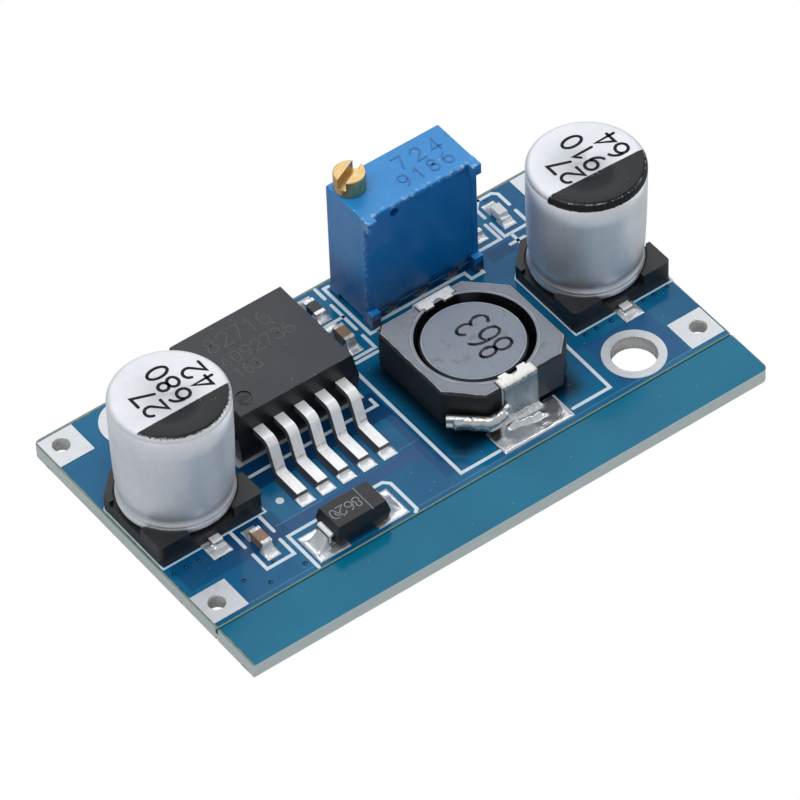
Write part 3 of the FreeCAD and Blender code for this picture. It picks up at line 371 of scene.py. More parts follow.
def regulator_paint():
    """Moulding with a pitted grey top, flecks, a painted highlight along its edges, and a round mould mark
    darkened in patches, partly painted shade.
    """
    p = Paint("regulator_moulding")
    up = p.step(p.nz, 0.6, 0.9)
    cloud = p.noise(0.35)
    grain = p.noise(11.0, 5.0, 0.7)
    top = p.mix(cloud, "#34363b", "#414348")
    side = p.mix(cloud, "#090a0c", "#121417")
    colour = p.mix(up, side, top)
    pits = p.step(p.cells(1.7), 0.1, 0.05)
    colour = p.over(colour, "#15161a", pits, up)
    fleck = p.step(p.cells(1.1, p.stretch(1.3, 0.9, 1.0)), 0.07, 0.04)
    colour = p.over(colour, "#9a8e74", fleck, up, 0.8)
    # Painted highlight in patches along the rounded edges
    edge = p.times(p.band(p.nz, 0.4, 0.88, 0.1), p.step(p.noise(1.0, 4.0, 0.6), 0.3, 0.6), 0.6)
    colour = p.mix(edge, colour, "#6a6e74")
    # The mould mark's recess darkened in patches: its own mottled finish, and painted shade that makes it look
    # deeper
    mark = p.step(p.radius(*mould_mark), 0.58, 0.54)
    colour = p.over(colour, "#0b0c0e", mark, p.step(p.noise(2.6, 3.0, 0.6), 0.44, 0.54), 0.85)
    rough = p.blend(up, 0.3, 0.6)
    height = p.minus(grain, p.times(pits, 1.2))
    return p.finish(colour, rough, height, distance=0.03, strength=0.45)


def core_inset(p):
    """How far inside the core's rim a point of its plan lies, as a number below zero."""
    return p.minus(p.radius(core_x, core_y), core_radius)


def ring_inset(p):
    """How far inside the ring's outline and outside its bore a point of its plan lies, below zero."""
    east, north = p.minus(p.x, inductor_x), p.minus(p.y, inductor_y)
    inset = p.minus(ring_bore, p.radius(inductor_x, inductor_y))
    inset = p.larger(inset, p.minus(p.off(p.x, inductor_x), ring_half_x))
    inset = p.larger(inset, p.minus(p.off(p.y, inductor_y), ring_half_y))
    for side_x, side_y, corner in ring_corners:
        slant = p.plus(p.times(east, side_x), p.times(north, side_y))
        slant = p.times(p.minus(slant, ring_half_x + ring_half_y - corner), math.sqrt(0.5))
        inset = p.larger(inset, slant)
    return inset


def ferrite_paint(name, shades, inset_of):
    """Ground top with painted sheen and painted highlight and shade lines along its edges, dark sides with
    painted sheen right of the front clip, and painted shade in the gaps beside the clips.
    """
    p = Paint(name)
    up = p.step(p.nz, 0.75, 0.97)
    inset = p.plus(inset_of(p), p.times(p.minus(p.noise(1.6, 4.0, 0.6), 0.5), 0.08))
    above = p.step(p.nz, 0.2, 0.4)
    cloud = p.noise(0.5)
    grain = p.noise(17.0, 4.0, 0.7)
    streak = p.noise(6.0, 3.0, 0.6, p.stretch(1.0, 0.12, 1.0))
    # The top's shades hold a painted sheen as well as the ferrite's own ground grey
    colour = p.mix(up, p.mix(cloud, "#0b0c0f", "#15171b"), p.mix(cloud, *shades))
    # Painted sheen on the front face right of the front clip
    right = p.times(p.step(p.ny, -0.7, -0.9), p.step(p.x, inductor_x + clip_half, inductor_x + clip_half + 0.3))
    colour = p.mix(right, colour, p.mix(cloud, "#30343b", "#43474f"))
    colour = p.over(colour, "#a9adb5", p.step(grain, 0.5, 0.75), up, 0.4)
    colour = p.over(colour, "#565a62", p.step(grain, 0.45, 0.3), up, 0.35)
    colour = p.over(colour, "#3c4046", p.step(streak, 0.6, 0.75), up, 0.3)
    colour = p.over(colour, "#655c52", p.step(p.noise(0.9, 4.0, 0.7), 0.56, 0.7), up, 0.4)
    # Painted lines along the edges: a line of painted shade, then a painted highlight on the chamfer's top
    # border
    colour = p.over(colour, "#34383f", p.band(inset, -0.3, -0.25, 0.02), above, 0.25)
    colour = p.over(colour, "#b9bdc4", p.band(inset, -0.2, -0.14, 0.02), above, p.step(p.noise(0.9), 0.3, 0.7))
    beside = p.off(p.x, inductor_x)
    # Painted shade in the gaps between the ring and the clips
    gap = p.times(p.band(beside, clip_half, clip_half + 0.1, 0.02), p.step(p.off(p.y, inductor_y), 4.05, 4.15))
    colour = p.mix(gap, colour, "#030304")
    return p.finish(colour, p.blend(cloud, 0.4, 0.52), p.plus(grain, streak), distance=0.025, strength=0.45)


def winding_paint():
    """Enamelled copper inside the ring, tinned where the ends come out."""
    p = Paint("winding_wire")
    turns = p.layers(p.at, Scale=0.9, Distortion=0.4)
    out = p.step(p.radius(core_x, core_y), 3.25, 3.4)
    grain = p.noise(8.0, 3.0)
    enamel = p.mix(turns, "#3c1c0e", "#8a4a22")
    colour = p.mix(out, enamel, p.mix(grain, "#b9bcbf", "#e6e8ea"))
    return p.finish(colour, p.blend(grain, 0.2, 0.4), p.plus(turns, grain), metallic=p.blend(out, 0.4, 1.0),
                    distance=0.06)


def ceramic_paint(name, shades):
    """Fine-grained fired body."""
    p = Paint(name)
    cloud = p.noise(2.2)
    grain = p.noise(22.0, 3.0)
    colour = p.mix(cloud, *shades)
    colour = p.over(colour, "#d8cfc4", p.step(grain, 0.6, 0.7), 0.3)
    return p.finish(colour, p.blend(cloud, 0.3, 0.45), grain, distance=0.01)


def housing_paint():
    """Blue plastic: rubbed on the left and greyed there by painted sheen, painted shade on the front, down the
    lower left and along the front's foot, whitened at worn edges.
    """
    p = Paint("blue_housing")
    cloud = p.noise(0.4, 5.0, 0.6)
    grain = p.noise(12.0, 4.0, 0.65)
    rub = p.noise(1.6, 5.0, 0.7, p.stretch(1.0, 1.0, 0.35))
    up = p.step(p.nz, 0.5, 0.8)
    left = p.step(p.nx, -0.5, -0.9)
    front = p.step(p.ny, -0.6, -0.9)
    colour = p.mix(cloud, "#1a7ec4", "#2391da")
    # Painted shade: the front is darker than the top
    colour = p.mix(front, colour, p.mix(cloud, "#0c65a8", "#1173bb"))
    # Painted sheen that greys the left face
    colour = p.over(colour, "#3f709f", left, 0.4)
    # Painted shade down the lower part of the left face
    colour = p.over(colour, "#073f7c", left, p.step(p.z, 7.0, 3.0), 0.75)
    colour = p.over(colour, "#7f9fbd", p.step(rub, 0.6, 0.75), left, 0.6)
    colour = p.over(colour, "#174c84", p.step(rub, 0.42, 0.3), 0.4)
    worn = p.times(p.step(p.z, 10.95, 11.22), p.step(p.y, 5.7, 5.3), p.step(p.noise(2.4, 5.0, 0.7), 0.5, 0.62))
    corner = p.times(p.step(p.x, 2.85, 2.6), p.step(p.y, 5.5, 5.25), p.step(p.noise(3.4), 0.46, 0.6))
    colour = p.mix(p.larger(p.times(worn, 0.75), p.times(corner, 0.35)), colour, "#a9c8e2")
    flecks = p.times(p.step(p.cells(1.2), 0.09, 0.05), up)
    colour = p.over(colour, "#b5d2ea", flecks, 0.8)
    # Painted shade along the foot of the front face
    foot = p.times(front, p.step(p.plus(p.z, p.times(p.noise(1.6, 3.0), 0.5)), 2.3, 2.1))
    colour = p.over(colour, "#041426", foot, 0.85)
    rough = p.blend(p.step(rub, 0.4, 0.7), 0.3, 0.46)
    return p.finish(colour, rough, p.plus(grain, cloud), strength=0.4)


def resin_paint():
    """Glossy cast resin, with painted shade at its foot."""
    p = Paint("potting_resin")
    cloud = p.noise(0.5)
    grain = p.noise(3.0)
    colour = p.mix(cloud, "#0a62a4", "#0f72b8")
    # Painted shade at the foot, with a ragged upper edge
    low = p.plus(p.z, p.times(p.noise(0.9, 3.0), 1.2))
    colour = p.over(colour, "#04162a", p.step(low, 3.4, 2.3), 0.9)
    return p.finish(colour, p.blend(cloud, 0.14, 0.3), p.plus(cloud, p.times(grain, 0.3)),
                    distance=0.12, strength=0.5)


def brass_paint():
    """Turned brass with a few dark spots."""
    p = Paint("brass")
    grooves = p.layers(p.at, Scale=3.1, Distortion=0.6, Detail=2.0)
    cloud = p.noise(2.4)
    colour = p.mix(cloud, "#b3925c", "#e0c493")
    colour = p.over(colour, "#6f5630", p.step(p.noise(6.0), 0.58, 0.7), 0.5)
    return p.finish(colour, p.blend(cloud, 0.22, 0.38), p.plus(grooves, cloud), metallic=1.0, distance=0.01)


def plain_paint(name, shades, rough, **sockets):
    """Two close shades and fine grain."""
    p = Paint(name)
    cloud = p.noise(1.5)
    grain = p.noise(14.0, 3.0)
    return p.finish(p.mix(cloud, *shades), p.blend(grain, rough, rough + 0.12), grain, distance=0.01, **sockets)


paints = {
    "solder_mask": board_paint(),
    "tinned_copper": tin_paint("tinned_copper", ("#c6c9cd", "#e2e5e8"), (0.36, 0.52), 0.012, 0.45),
    "lead_tin": lead_paint(),
    "clip_tin": clip_paint(),
    "solder": solder_paint("solder", ("#cfd2d5", "#f6f7f8"), (0.24, 0.42), 0.75, 0.04),
    "grainy_tin": solder_paint("grainy_tin", ("#d2d4d6", "#ffffff"), (0.14, 0.26), 0.95, 0.035),
    "bright_tin": solder_paint("bright_tin", ("#b5b0a4", "#f7f8f8"), (0.16, 0.3), 0.97, 0.04),
    "input_can": can_paint("input_can", input_can_x, -1.565, 0.0, can_top - 0.1, 0.64),
    "output_can": can_paint("output_can", output_can_x, -1.2, 0.048, can_top - 0.6, 0.86),
    "black_moulding": moulding_paint(),
    "regulator_moulding": regulator_paint(),
    # The ferrite shades are lightened by painted sheen
    "ferrite_ring": ferrite_paint("ferrite_ring", ("#797f88", "#8c929b"), ring_inset),
    "ferrite_core": ferrite_paint("ferrite_core", ("#78818e", "#8c95a2"), core_inset),
    "winding_wire": winding_paint(),
    "brown_ceramic": ceramic_paint("brown_ceramic", ("#7c5d45", "#9a7a5e")),
    "black_glaze": ceramic_paint("black_glaze", ("#14161a", "#23262b")),
    "lens": plain_paint("lens", ("#e3e8e6", "#f6faf8"), 0.15, **{"Transmission Weight": 0.2}),
    "substrate": plain_paint("substrate", ("#cfcdbf", "#e6e4d8"), 0.5),
    "blue_housing": housing_paint(),
    "potting_resin": resin_paint(),
    "brass": brass_paint(),
    "o_ring_rubber": plain_paint("o_ring_rubber", ("#0d0d0e", "#1a1a1b"), 0.55),
    "element_ceramic": plain_paint("element_ceramic", ("#d6d3c8", "#efece2"), 0.4),
    "rotor_plastic": plain_paint("rotor_plastic", ("#d3d2c8", "#ecebe2"), 0.4),
    "silkscreen": plain_paint("silkscreen", ("#c9dbe6", "#e6eff4"), 0.5),
    "via_rim": plain_paint("via_rim", ("#0a3d63", "#124d77"), 0.3, **{"Specular IOR Level": 0.2}),
    # Painted shade in the via pits and a painted glint on them
    "via_pit_shade": plain_paint("via_pit_shade", ("#020910", "#04101b"), 0.5, **{"Specular IOR Level": 0.1}),
    "via_glint": plain_paint("via_glint", ("#5f9cbf", "#86bbd6"), 0.3),
    "plating": tin_paint("plating", ("#dfdfdb", "#f7f7f4"), (0.2, 0.34), 0.02, 0.55),
    "ink": plain_paint("ink", ("#07080b", "#0d0e13"), 0.45, **{"Specular IOR Level": 0.2}),
    "burnt_mark": plain_paint("burnt_mark", ("#34333a", "#46444b"), 0.6, **{"Specular IOR Level": 0.2}),
    "trimmer_mark": plain_paint("trimmer_mark", ("#1a66a4", "#2073b4"), 0.3),
    "pale_mark": plain_paint("pale_mark", ("#7c7e82", "#9a9ca0"), 0.6),
    "ghost_print": plain_paint("ghost_print", ("#4c4a47", "#5e5b55"), 0.6),
}


def paint_for(name):
    """The paint of a node of the frame."""
    fixed = {
        "circuit_board": "solder_mask", "input_capacitor_can": "input_can",
        "output_capacitor_can": "output_can", "regulator_body": "regulator_moulding",
        "diode_body": "black_moulding", "inductor_shield": "ferrite_ring", "inductor_core": "ferrite_core",
        "inductor_winding": "winding_wire", "led_lens": "lens", "led_substrate": "substrate",
        "trimmer_housing": "blue_housing", "trimmer_seal": "potting_resin",
        "trimmer_screw": "brass", "trimmer_o_ring": "o_ring_rubber", "trimmer_element": "element_ceramic",
        "trimmer_rotor": "rotor_plastic", "inductor_clip_front": "clip_tin", "inductor_clip_rear": "clip_tin",
    }
    endings = {
        "_solder": "solder", "capacitor_base": "black_moulding", "ceramic_body": "brown_ceramic",
        "resistor_body": "black_glaze", ("_pad", "_left", "_right", "_lands"): "tinned_copper",
    }
    if name in fixed:
        return fixed[name]
    for ending, paint in endings.items():
        if name.endswith(ending) and not name.startswith("diode_lead"):
            return paint
    return "lead_tin"


# Radius of the rounded edges of mouldings and cut metal, millimetres
rounding = {
    "input_capacitor_base": 0.1, "output_capacitor_base": 0.1, "diode_body": 0.07, "regulator_body": 0.06,
    "trimmer_housing": 0.09, "inductor_shield": 0.05, "inductor_core": 0.05, "trimmer_screw": 0.03,
}

for name, node in nodes.items():
    node.data.materials.clear()
    node.data.materials.append(paints[paint_for(name)])
    if name in rounding:
        bevel = node.modifiers.new("rounding", "BEVEL")
        bevel.width = rounding[name] * MM
        bevel.segments = 3
        bevel.limit_method = "ANGLE"
        bevel.angle_limit = math.radians(35)
        bevel.harden_normals = True


# Pieces made in mesh code


class Build:
    """Gathers points and faces, in millimetres in the part's frame, and makes one piece of them."""

    def __init__(self):
        self.points = []
        self.faces = []

    def add(self, points, faces):
        first = len(self.points)
        self.points += [tuple(point) for point in points]
        self.faces += [tuple(first + index for index in face) for face in faces]

    def piece(self, name, paint, smooth=False, replaces=()):
        mesh = bpy.data.meshes.new(name)
        mesh.from_pydata([Vector(point) * MM for point in self.points], [], self.faces)
        mesh.polygons.foreach_set("use_smooth", [smooth] * len(mesh.polygons))
        mesh.materials.append(paints[paint])
        made = bpy.data.objects.new(name, mesh)
        bpy.context.scene.collection.objects.link(made)
        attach(made, "module")
        if replaces:
            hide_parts(*replaces)


class Plane:
    """A flat face to draw on: origin, reading direction and the direction of the letters' tops."""

    def __init__(self, origin, along=(1, 0, 0), up=(0, 1, 0)):
        self.origin, self.along, self.up = Vector(origin), Vector(along), Vector(up)
        self.out = self.along.cross(self.up)

    def at(self, a, b, h=0.0):
        return self.origin + self.along * a + self.up * b + self.out * h


def ribbon(build, plane, line, width, height, closed=False):
    """A flat band along a line of points, with mitred corners and round ends, raised by height."""
    line = [Vector(point) for point in line]
    count = len(line)
    half = width / 2
    left, right = [], []
    for i, point in enumerate(line):
        before = (point - line[i - 1]).normalized() if i or closed else None
        after = (line[(i + 1) % count] - point).normalized() if i + 1 < count or closed else None
        before, after = before or after, after or before
        tangent = (before + after).normalized()
        side = Vector((-tangent.y, tangent.x))
        reach = half / max(0.5, side.dot(Vector((-before.y, before.x))))
        left.append(point + side * reach)
        right.append(point - side * reach)
    loops = list(range(count)) + ([0] if closed else [])
    top = [plane.at(*point, height) for point in left + right]
    low = [plane.at(*point) for point in left + right]
    faces = []
    for i, j in zip(loops, loops[1:]):
        faces.append((i, count + i, count + j, j))
        faces.append((2 * count + i, i, j, 2 * count + j))
        faces.append((count + i, 3 * count + i, 3 * count + j, count + j))
    build.add(top + low, faces)
    if not closed:
        for tip, inner in ((line[0], line[1]), (line[-1], line[-2])):
            away = (tip - inner).normalized()
            start = math.atan2(away.y, away.x) - math.pi / 2
            arc = [tip + half * Vector((math.cos(start + math.pi * k / 6), math.sin(start + math.pi * k / 6)))
                   for k in range(7)]
            rim = [plane.at(*point, height) for point in arc]
            foot = [plane.at(*point) for point in arc]
            walls = [(k, 7 + k, 8 + k, k + 1) for k in range(6)]
            build.add(rim + foot, [tuple(range(7)), *walls])


def ring_faces(rings, sides, closed=False):
    """Faces between each ring of points and the next, and from the last to the first if closed."""
    return [(i * sides + k, i * sides + (k + 1) % sides, (i + 1) % rings * sides + (k + 1) % sides,
             (i + 1) % rings * sides + k) for i in range(rings if closed else rings - 1) for k in range(sides)]


def disc(build, plane, centre, radius, height, inner=0.0, sides=28):
    """A raised round spot, or a ring if inner is above 0."""
    turns = [2 * math.pi * k / sides for k in range(sides)]

    def circle(r, h):
        return [plane.at(centre[0] + r * math.cos(t), centre[1] + r * math.sin(t), h) for t in turns]

    if inner:
        points = circle(radius, 0) + circle(radius, height) + circle(inner, height) + circle(inner, 0)
        faces = ring_faces(4, sides)
    else:
        points = circle(radius, 0) + circle(radius, height)
        faces = [*ring_faces(2, sides), tuple(range(sides, 2 * sides))]
    build.add(points, faces)


def turned(build, x, y, profile, sides):
    """A closed profile of (radius, height) turned about an upright line."""
    points = [(x + r * math.cos(2 * math.pi * k / sides), y + r * math.sin(2 * math.pi * k / sides), z)
              for r, z in profile for k in range(sides)]
    build.add(points, ring_faces(len(profile), sides, closed=True))


def bow(cx, cy, rx, ry, start, end, steps=12):
    """Points of an arc of an ellipse, from start to end in degrees."""
    return [(cx + rx * math.cos(math.radians(start + (end - start) * k / steps)),
             cy + ry * math.sin(math.radians(start + (end - start) * k / steps))) for k in range(steps + 1)]


# Strokes of the digits that are used, in a box 1 wide and 1.6 high
digits = {
    "0": [bow(0.5, 0.8, 0.46, 0.8, 90, 435, 22)],
    "1": [[(0.2, 1.25), (0.58, 1.6), (0.58, 0.0)]],
    "2": [bow(0.5, 1.13, 0.46, 0.47, 170, -38) + [(0.0, 0.0), (0.98, 0.0)]],
    "3": [bow(0.46, 1.2, 0.42, 0.4, 150, -85), bow(0.46, 0.41, 0.5, 0.41, 85, -150)],
    "4": [[(0.98, 0.42), (0.0, 0.42), (0.72, 1.6), (0.72, 0.0)]],
    "6": [bow(0.75, 0.75, 0.72, 0.85, 105, 180, 8) + bow(0.5, 0.48, 0.47, 0.48, 150, 500, 20)],
    "7": [[(0.0, 1.6), (0.96, 1.6), (0.34, 0.0)]],
    "8": [bow(0.5, 1.21, 0.38, 0.39, -90, 265, 18), bow(0.5, 0.41, 0.47, 0.41, 90, 445, 20)],
    "9": [bow(0.25, 0.85, 0.72, 0.85, -75, 0, 8) + bow(0.5, 1.12, 0.47, 0.48, -30, 320, 20)],
}


def write(build, plane, text, place, size, stroke, height, gap=0.32):
    """Digits in a row that starts at place; size is the height of a digit."""
    scale = size / 1.6
    for index, digit in enumerate(text):
        for line in digits[digit]:
            points = [(place[0] + (index * (1 + gap) + a) * scale, place[1] + b * scale) for a, b in line]
            ribbon(build, plane, points, stroke, height)


def make_silkscreen():
    """White outlines on the board, in millimetres from its front left corner."""
    board = Plane(board_corner)
    build = Build()
    lines = [
        # Inductor
        [(20.9, 17.0), (20.9, 5.23), (24.15, 5.23)],
        [(30.35, 5.26), (33.5, 5.26), (33.56, 10.4), (33.56, 17.0)],
        # Diode
        [(10.9, 7.8), (8.48, 7.8), (8.48, 4.35)],
        [(15.3, 7.8), (16.25, 7.8), (16.65, 7.4), (16.65, 4.5), (16.42, 4.32)],
        # Front ceramic
        [(5.66, 10.45), (5.66, 8.75)],
        [(5.7, 7.9), (5.7, 6.32), (7.91, 6.32), (7.91, 7.9)],
        [(8.02, 10.45), (8.02, 8.75)],
        # Regulator
        [(9.55, 13.67), (20.15, 13.67), (20.15, 14.35)],
        # Rear ceramic and feedback resistor
        [(23.29, 24.95), (23.29, 23.8)],
        [(23.29, 23.05), (23.29, 20.2)],
        [(21.7, 21.67), (23.29, 21.67)],
        [(23.29, 19.45), (23.29, 18.04), (21.6, 18.04)],
        [(21.4, 17.63), (23.2, 17.63)],
        # Trimmer
        [(24.2, 24.62), (23.8, 24.62), (23.8, 19.25), (24.46, 19.25), (25.02, 19.86), (32.28, 19.86),
         (32.34, 19.14), (33.35, 19.14), (33.35, 19.6)],
        # Indicator and its resistor
        [(37.2, 24.83), (38.36, 24.83), (38.7, 24.5), (38.7, 23.2)],
        [(38.7, 22.5), (38.7, 20.94), (36.57, 20.94), (36.57, 22.5)],
        [(36.57, 23.2), (36.57, 24.2), (37.2, 24.83)],
        [(36.19, 22.65), (36.19, 20.91), (34.3, 20.91)],
        # Plus sign at the output
        [(36.42, 20.1), (37.66, 20.1)],
        [(37.08, 20.75), (37.08, 19.72)],
    ]
    width, thickness = 0.26, 0.014
    for line in lines:
        ribbon(build, board, line, width, thickness)
    for x in (4.45, 38.85):
        # Round a capacitor's base, with its two rear corners cut
        middle, half, cut = 14.82, 4.17, 1.72
        left, right, near, far = x - half, x + half, middle - half - 0.14, middle + half
        shape = [(left, near), (right, near), (right, far - cut), (right - cut, far), (left + cut, far),
                 (left, far - cut)]
        ribbon(build, board, shape, 0.14, 0.012, closed=True)
    disc(build, board, (9.92, 10.7), 0.29, thickness)
    build.piece("silkscreen", "silkscreen")


def make_vias():
    """Small plated holes tented with mask: a raised rim, a pit in painted shade and a painted glint each."""
    board = Plane(board_corner)
    rims, pits, glints = Build(), Build(), Build()
    places = [
        (0.6, 9.75), (1.56, 9.78), (2.6, 9.75), (3.85, 8.9), (3.9, 6.45), (5.2, 5.25), (7.97, 5.2), (7.97, 7.4),
        (6.35, 6.5), (35.2, 10.15), (36.16, 10.15), (37.4, 10.1), (40.3, 10.3), (41.2, 10.25), (42.4, 10.3),
        (37.67, 24.63),
    ]
    for place in places:
        disc(rims, board, place, 0.19, 0.01, inner=0.12, sides=20)
        # A near-black disc of painted shade in the pit, and a painted glint on it
        disc(pits, board, place, 0.122, 0.006, sides=16)
        disc(glints, board, (place[0] + 0.01, place[1] - 0.03), 0.04, 0.012, sides=10)
    rims.piece("via_rims", "via_rim")
    pits.piece("via_pit_shades", "via_pit_shade")
    glints.piece("via_glints", "via_glint")


def make_sleeves():
    """Thin plating in the holes, flared onto the lands."""
    build = Build()
    for holes, r, sides in ((mounting_holes, mounting_hole_radius, 56), (wire_holes, wire_hole_radius, 36)):
        profile = [
            (r - plating, -0.03), (r - plating, 1.13), (r - plating * 0.4, 1.152), (r + 0.05, 1.156),
            (r + 0.05, 1.151), (r - 0.002, 1.147), (r - 0.002, -0.047), (r + 0.05, -0.051), (r + 0.05, -0.056),
            (r - plating * 0.4, -0.052),
        ]
        for x, y in holes:
            turned(build, x, y, profile, sides)
    build.piece("hole_plating", "plating", smooth=True)


def make_cans():
    """Drawn cans with a rounded foot, a crimped groove, a slight barrel and a rounded rim."""
    groove = [
        (3.4, can_foot), (3.6, 2.09), (3.84, 2.2), (4.0, 2.4), (4.07, 2.62), (4.08, 2.8), (4.05, 2.88),
        (4.01, 2.93), (4.02, 2.98), (4.03, 3.04), (3.99, 3.12), (3.91, 3.24), (3.86, 3.4), (3.86, 3.55),
        (3.9, 3.75), (3.97, 4.0),
    ]
    wall = [(4.03, 4.3), (4.06, 4.9), (4.09, 5.7), (4.115, 6.6), (4.14, 7.8), (can_side, 9.4),
            (can_side, can_top - can_shoulder)]
    rim = bow(can_side - can_shoulder, can_top - can_shoulder, can_shoulder, can_shoulder, 0, 90, 9)
    for name, x, lean in (("input", input_can_x, 0.0), ("output", output_can_x + 0.04, 0.0075)):
        build = Build()
        turned(build, x, can_y, [(0.01, can_foot), *groove, *wall, *rim, (0.01, can_top)], 96)
        build.points = [(x + (z - can_foot) * lean, y - (z - can_foot) * lean, z) for x, y, z in build.points]
        build.piece(name + "_can_shell", name + "_can", smooth=True, replaces=[name + "_capacitor_can"])


def field(build, low, high, step, height):
    """A sheet over a rectangle of land; height(x, y) is above the land and falls to nothing at its edge."""
    rim, lift, film = 0.16, 0.001, 0.004
    nx = max(2, round((high[0] - low[0]) / step))
    ny = max(2, round((high[1] - low[1]) / step))
    points = []
    for j in range(ny + 1):
        for i in range(nx + 1):
            x = low[0] + (high[0] - low[0]) * i / nx
            y = low[1] + (high[1] - low[1]) * j / ny
            edge = min(x - low[0], high[0] - x, y - low[1], high[1] - y)
            round_off = 1 - (1 - min(1.0, edge / rim)) ** 2
            points.append((x, y, land_top + lift + round_off * max(film, height(x, y))))
    wide = nx + 1
    faces = [(j * wide + i, j * wide + i + 1, (j + 1) * wide + i + 1, (j + 1) * wide + i)
             for j in range(ny) for i in range(nx)]
    build.add(points, faces)


def away(x, y, box):
    """Distance from a box (x0, x1, y0, y1), 0 inside it."""
    return math.hypot(max(box[0] - x, 0, x - box[1]), max(box[2] - y, 0, y - box[3]))


def lumps(x, y, seed, scale):
    """Smooth unevenness, about -1 to 1."""
    return noise.noise(Vector((x * scale, y * scale, seed)))


def wetted(box, climb, reach, film, rough, seed):
    """Height of solder that wets the land in a thin film and climbs up to a piece that stands in box."""
    def height(x, y):
        near = math.exp(-away(x, y, box) / reach)
        rippled = rough * lumps(x, y, seed, 1.8) + 0.15 * rough * lumps(x, y, seed + 7, 5.0)
        return film + climb * near * (1 + 0.35 * lumps(x, y, seed + 3, 1.9)) + rippled
    return height


def make_solder():
    """Solder on the lands, wetting each terminal."""
    leads = Build()
    for index in range(lead_count):
        x = first_lead_x + lead_pitch * index
        box = (x - 0.4, x + 0.4, -4.6, -2.2)
        pool = wetted(box, 0.16, 0.1, 0.03, 0.012, index * 5.3)
        field(leads, (x - 0.56, -5.4), (x + 0.56, -4.5), 0.045, pool)
    leads.piece("lead_solder", "solder", smooth=True, replaces=["regulator_solder"])

    ends = Build()
    for place, (x, shift_x, shift_y) in enumerate(((input_can_x, -0.28, -0.2), (output_can_x, 0.0, 0.0))):
        for side in (-1, 1):
            start, end, tip = side * 4.2, side * 5.53, can_y + side * 4.75
            span = sorted((can_y + shift_y + start, can_y + shift_y + end))
            middle = x + shift_x
            box = (x - 0.3, x + 0.3, *sorted((can_y + start, tip - side * 0.12)))
            pool = wetted(box, 0.2, 0.12, 0.03, 0.03, 11.0 * place + side)

            def height(u, v):
                out = (v - tip) * side
                collar = 0.1 * math.exp(-((out - 0.16) / 0.1) ** 2 - (max(0, abs(u - x) - 0.3) / 0.14) ** 2)
                return pool(u, v) + collar

            field(ends, (middle - 0.76, span[0]), (middle + 0.76, span[1]), 0.04, height)
    ends.piece("capacitor_end_solder", "solder", smooth=True, replaces=["capacitor_solder"])

    chips = Build()
    chip_places = (
        (-14.8, -6.27, 3.2, 0.62), (0.55, 5.25, 3.2, 0.62), (0.55, 8.65, 2.75, 0.4), (13.55, 8.13, 2.75, 0.4),
        (16.0, 8.13, 2.75, 0.3),
    )
    for number, (x, y, spread, climb) in enumerate(chip_places):
        for side in (-1, 1):
            far, near = y + side * spread / 2, y + side * (spread / 2 - 1.05)
            box = (x - 0.36, x + 0.36, *sorted((y + side * 0.4, y + side * 0.8)))
            field(chips, (x - 0.515, min(far, near)), (x + 0.515, max(far, near)), 0.035,
                  wetted(box, climb, 0.17, 0.035, 0.05, 3.7 * number + side))
    chips.piece("chip_end_solder", "solder", smooth=True, replaces=["chip_solder"])

    diode = Build()
    for side in (-1, 1):
        inner, outer = diode_x + side * 1.17, diode_x + side * 3.64
        wall = diode_x + side * 2.53

        def height(x, y):
            out = (x - wall) * side
            across = abs(y - diode_y)
            slope = max(0.0, 1 - max(0.0, out) / 0.98) ** 1.35 if out > -0.15 else 0.0
            width = max(0.0, 1 - max(0.0, across - 0.52) / 0.24)
            pool = 0.07 * math.exp(-((out - 1.02) / 0.16) ** 2 - (max(0, across - 0.7) / 0.25) ** 2)
            return 0.04 + 0.92 * slope * width ** 0.7 + pool + 0.025 * lumps(x, y, 20.0 + side, 2.4)

        field(diode, (min(inner, outer), -10.12), (max(inner, outer), -7.5), 0.04, height)
    diode.piece("diode_end_solder", "solder", smooth=True, replaces=["diode_solder"])

    clips = Build()
    for side in (-1, 1):
        middle = clip_land_y + side * (clip_land_spread - clip_land_length) / 2
        wall = inductor_y + side * clip_face
        box = (inductor_x - clip_half, inductor_x + clip_half, *sorted((wall, inductor_y + side * 3.9)))
        fillet = wetted(box, 0.5, 0.16, 0.05, 0.018, 31.0 + side)

        def height(x, y):
            out = (y - wall) * side
            along = x - inductor_x if side < 0 else inductor_x - x
            across = out - 0.66 - 0.17 * along + 0.12 * lumps(x, y, 9.0, 1.0)
            curl = 0.36 * math.exp(-(across / 0.17) ** 2 - (max(0, abs(along + 0.1) - 0.9) / 0.4) ** 2)
            return fillet(x, y) * (1.1 - 0.16 * along) + curl * (1 + 0.45 * lumps(x, y, 4.0, 2.2))

        half = clip_land_length / 2 - 0.01
        near, far = middle - half, middle + half
        field(clips, (clip_land_x[0], near), (clip_land_x[1], far), 0.05, height)
    clips.piece("clip_end_solder", "grainy_tin", smooth=True, replaces=["inductor_solder"])


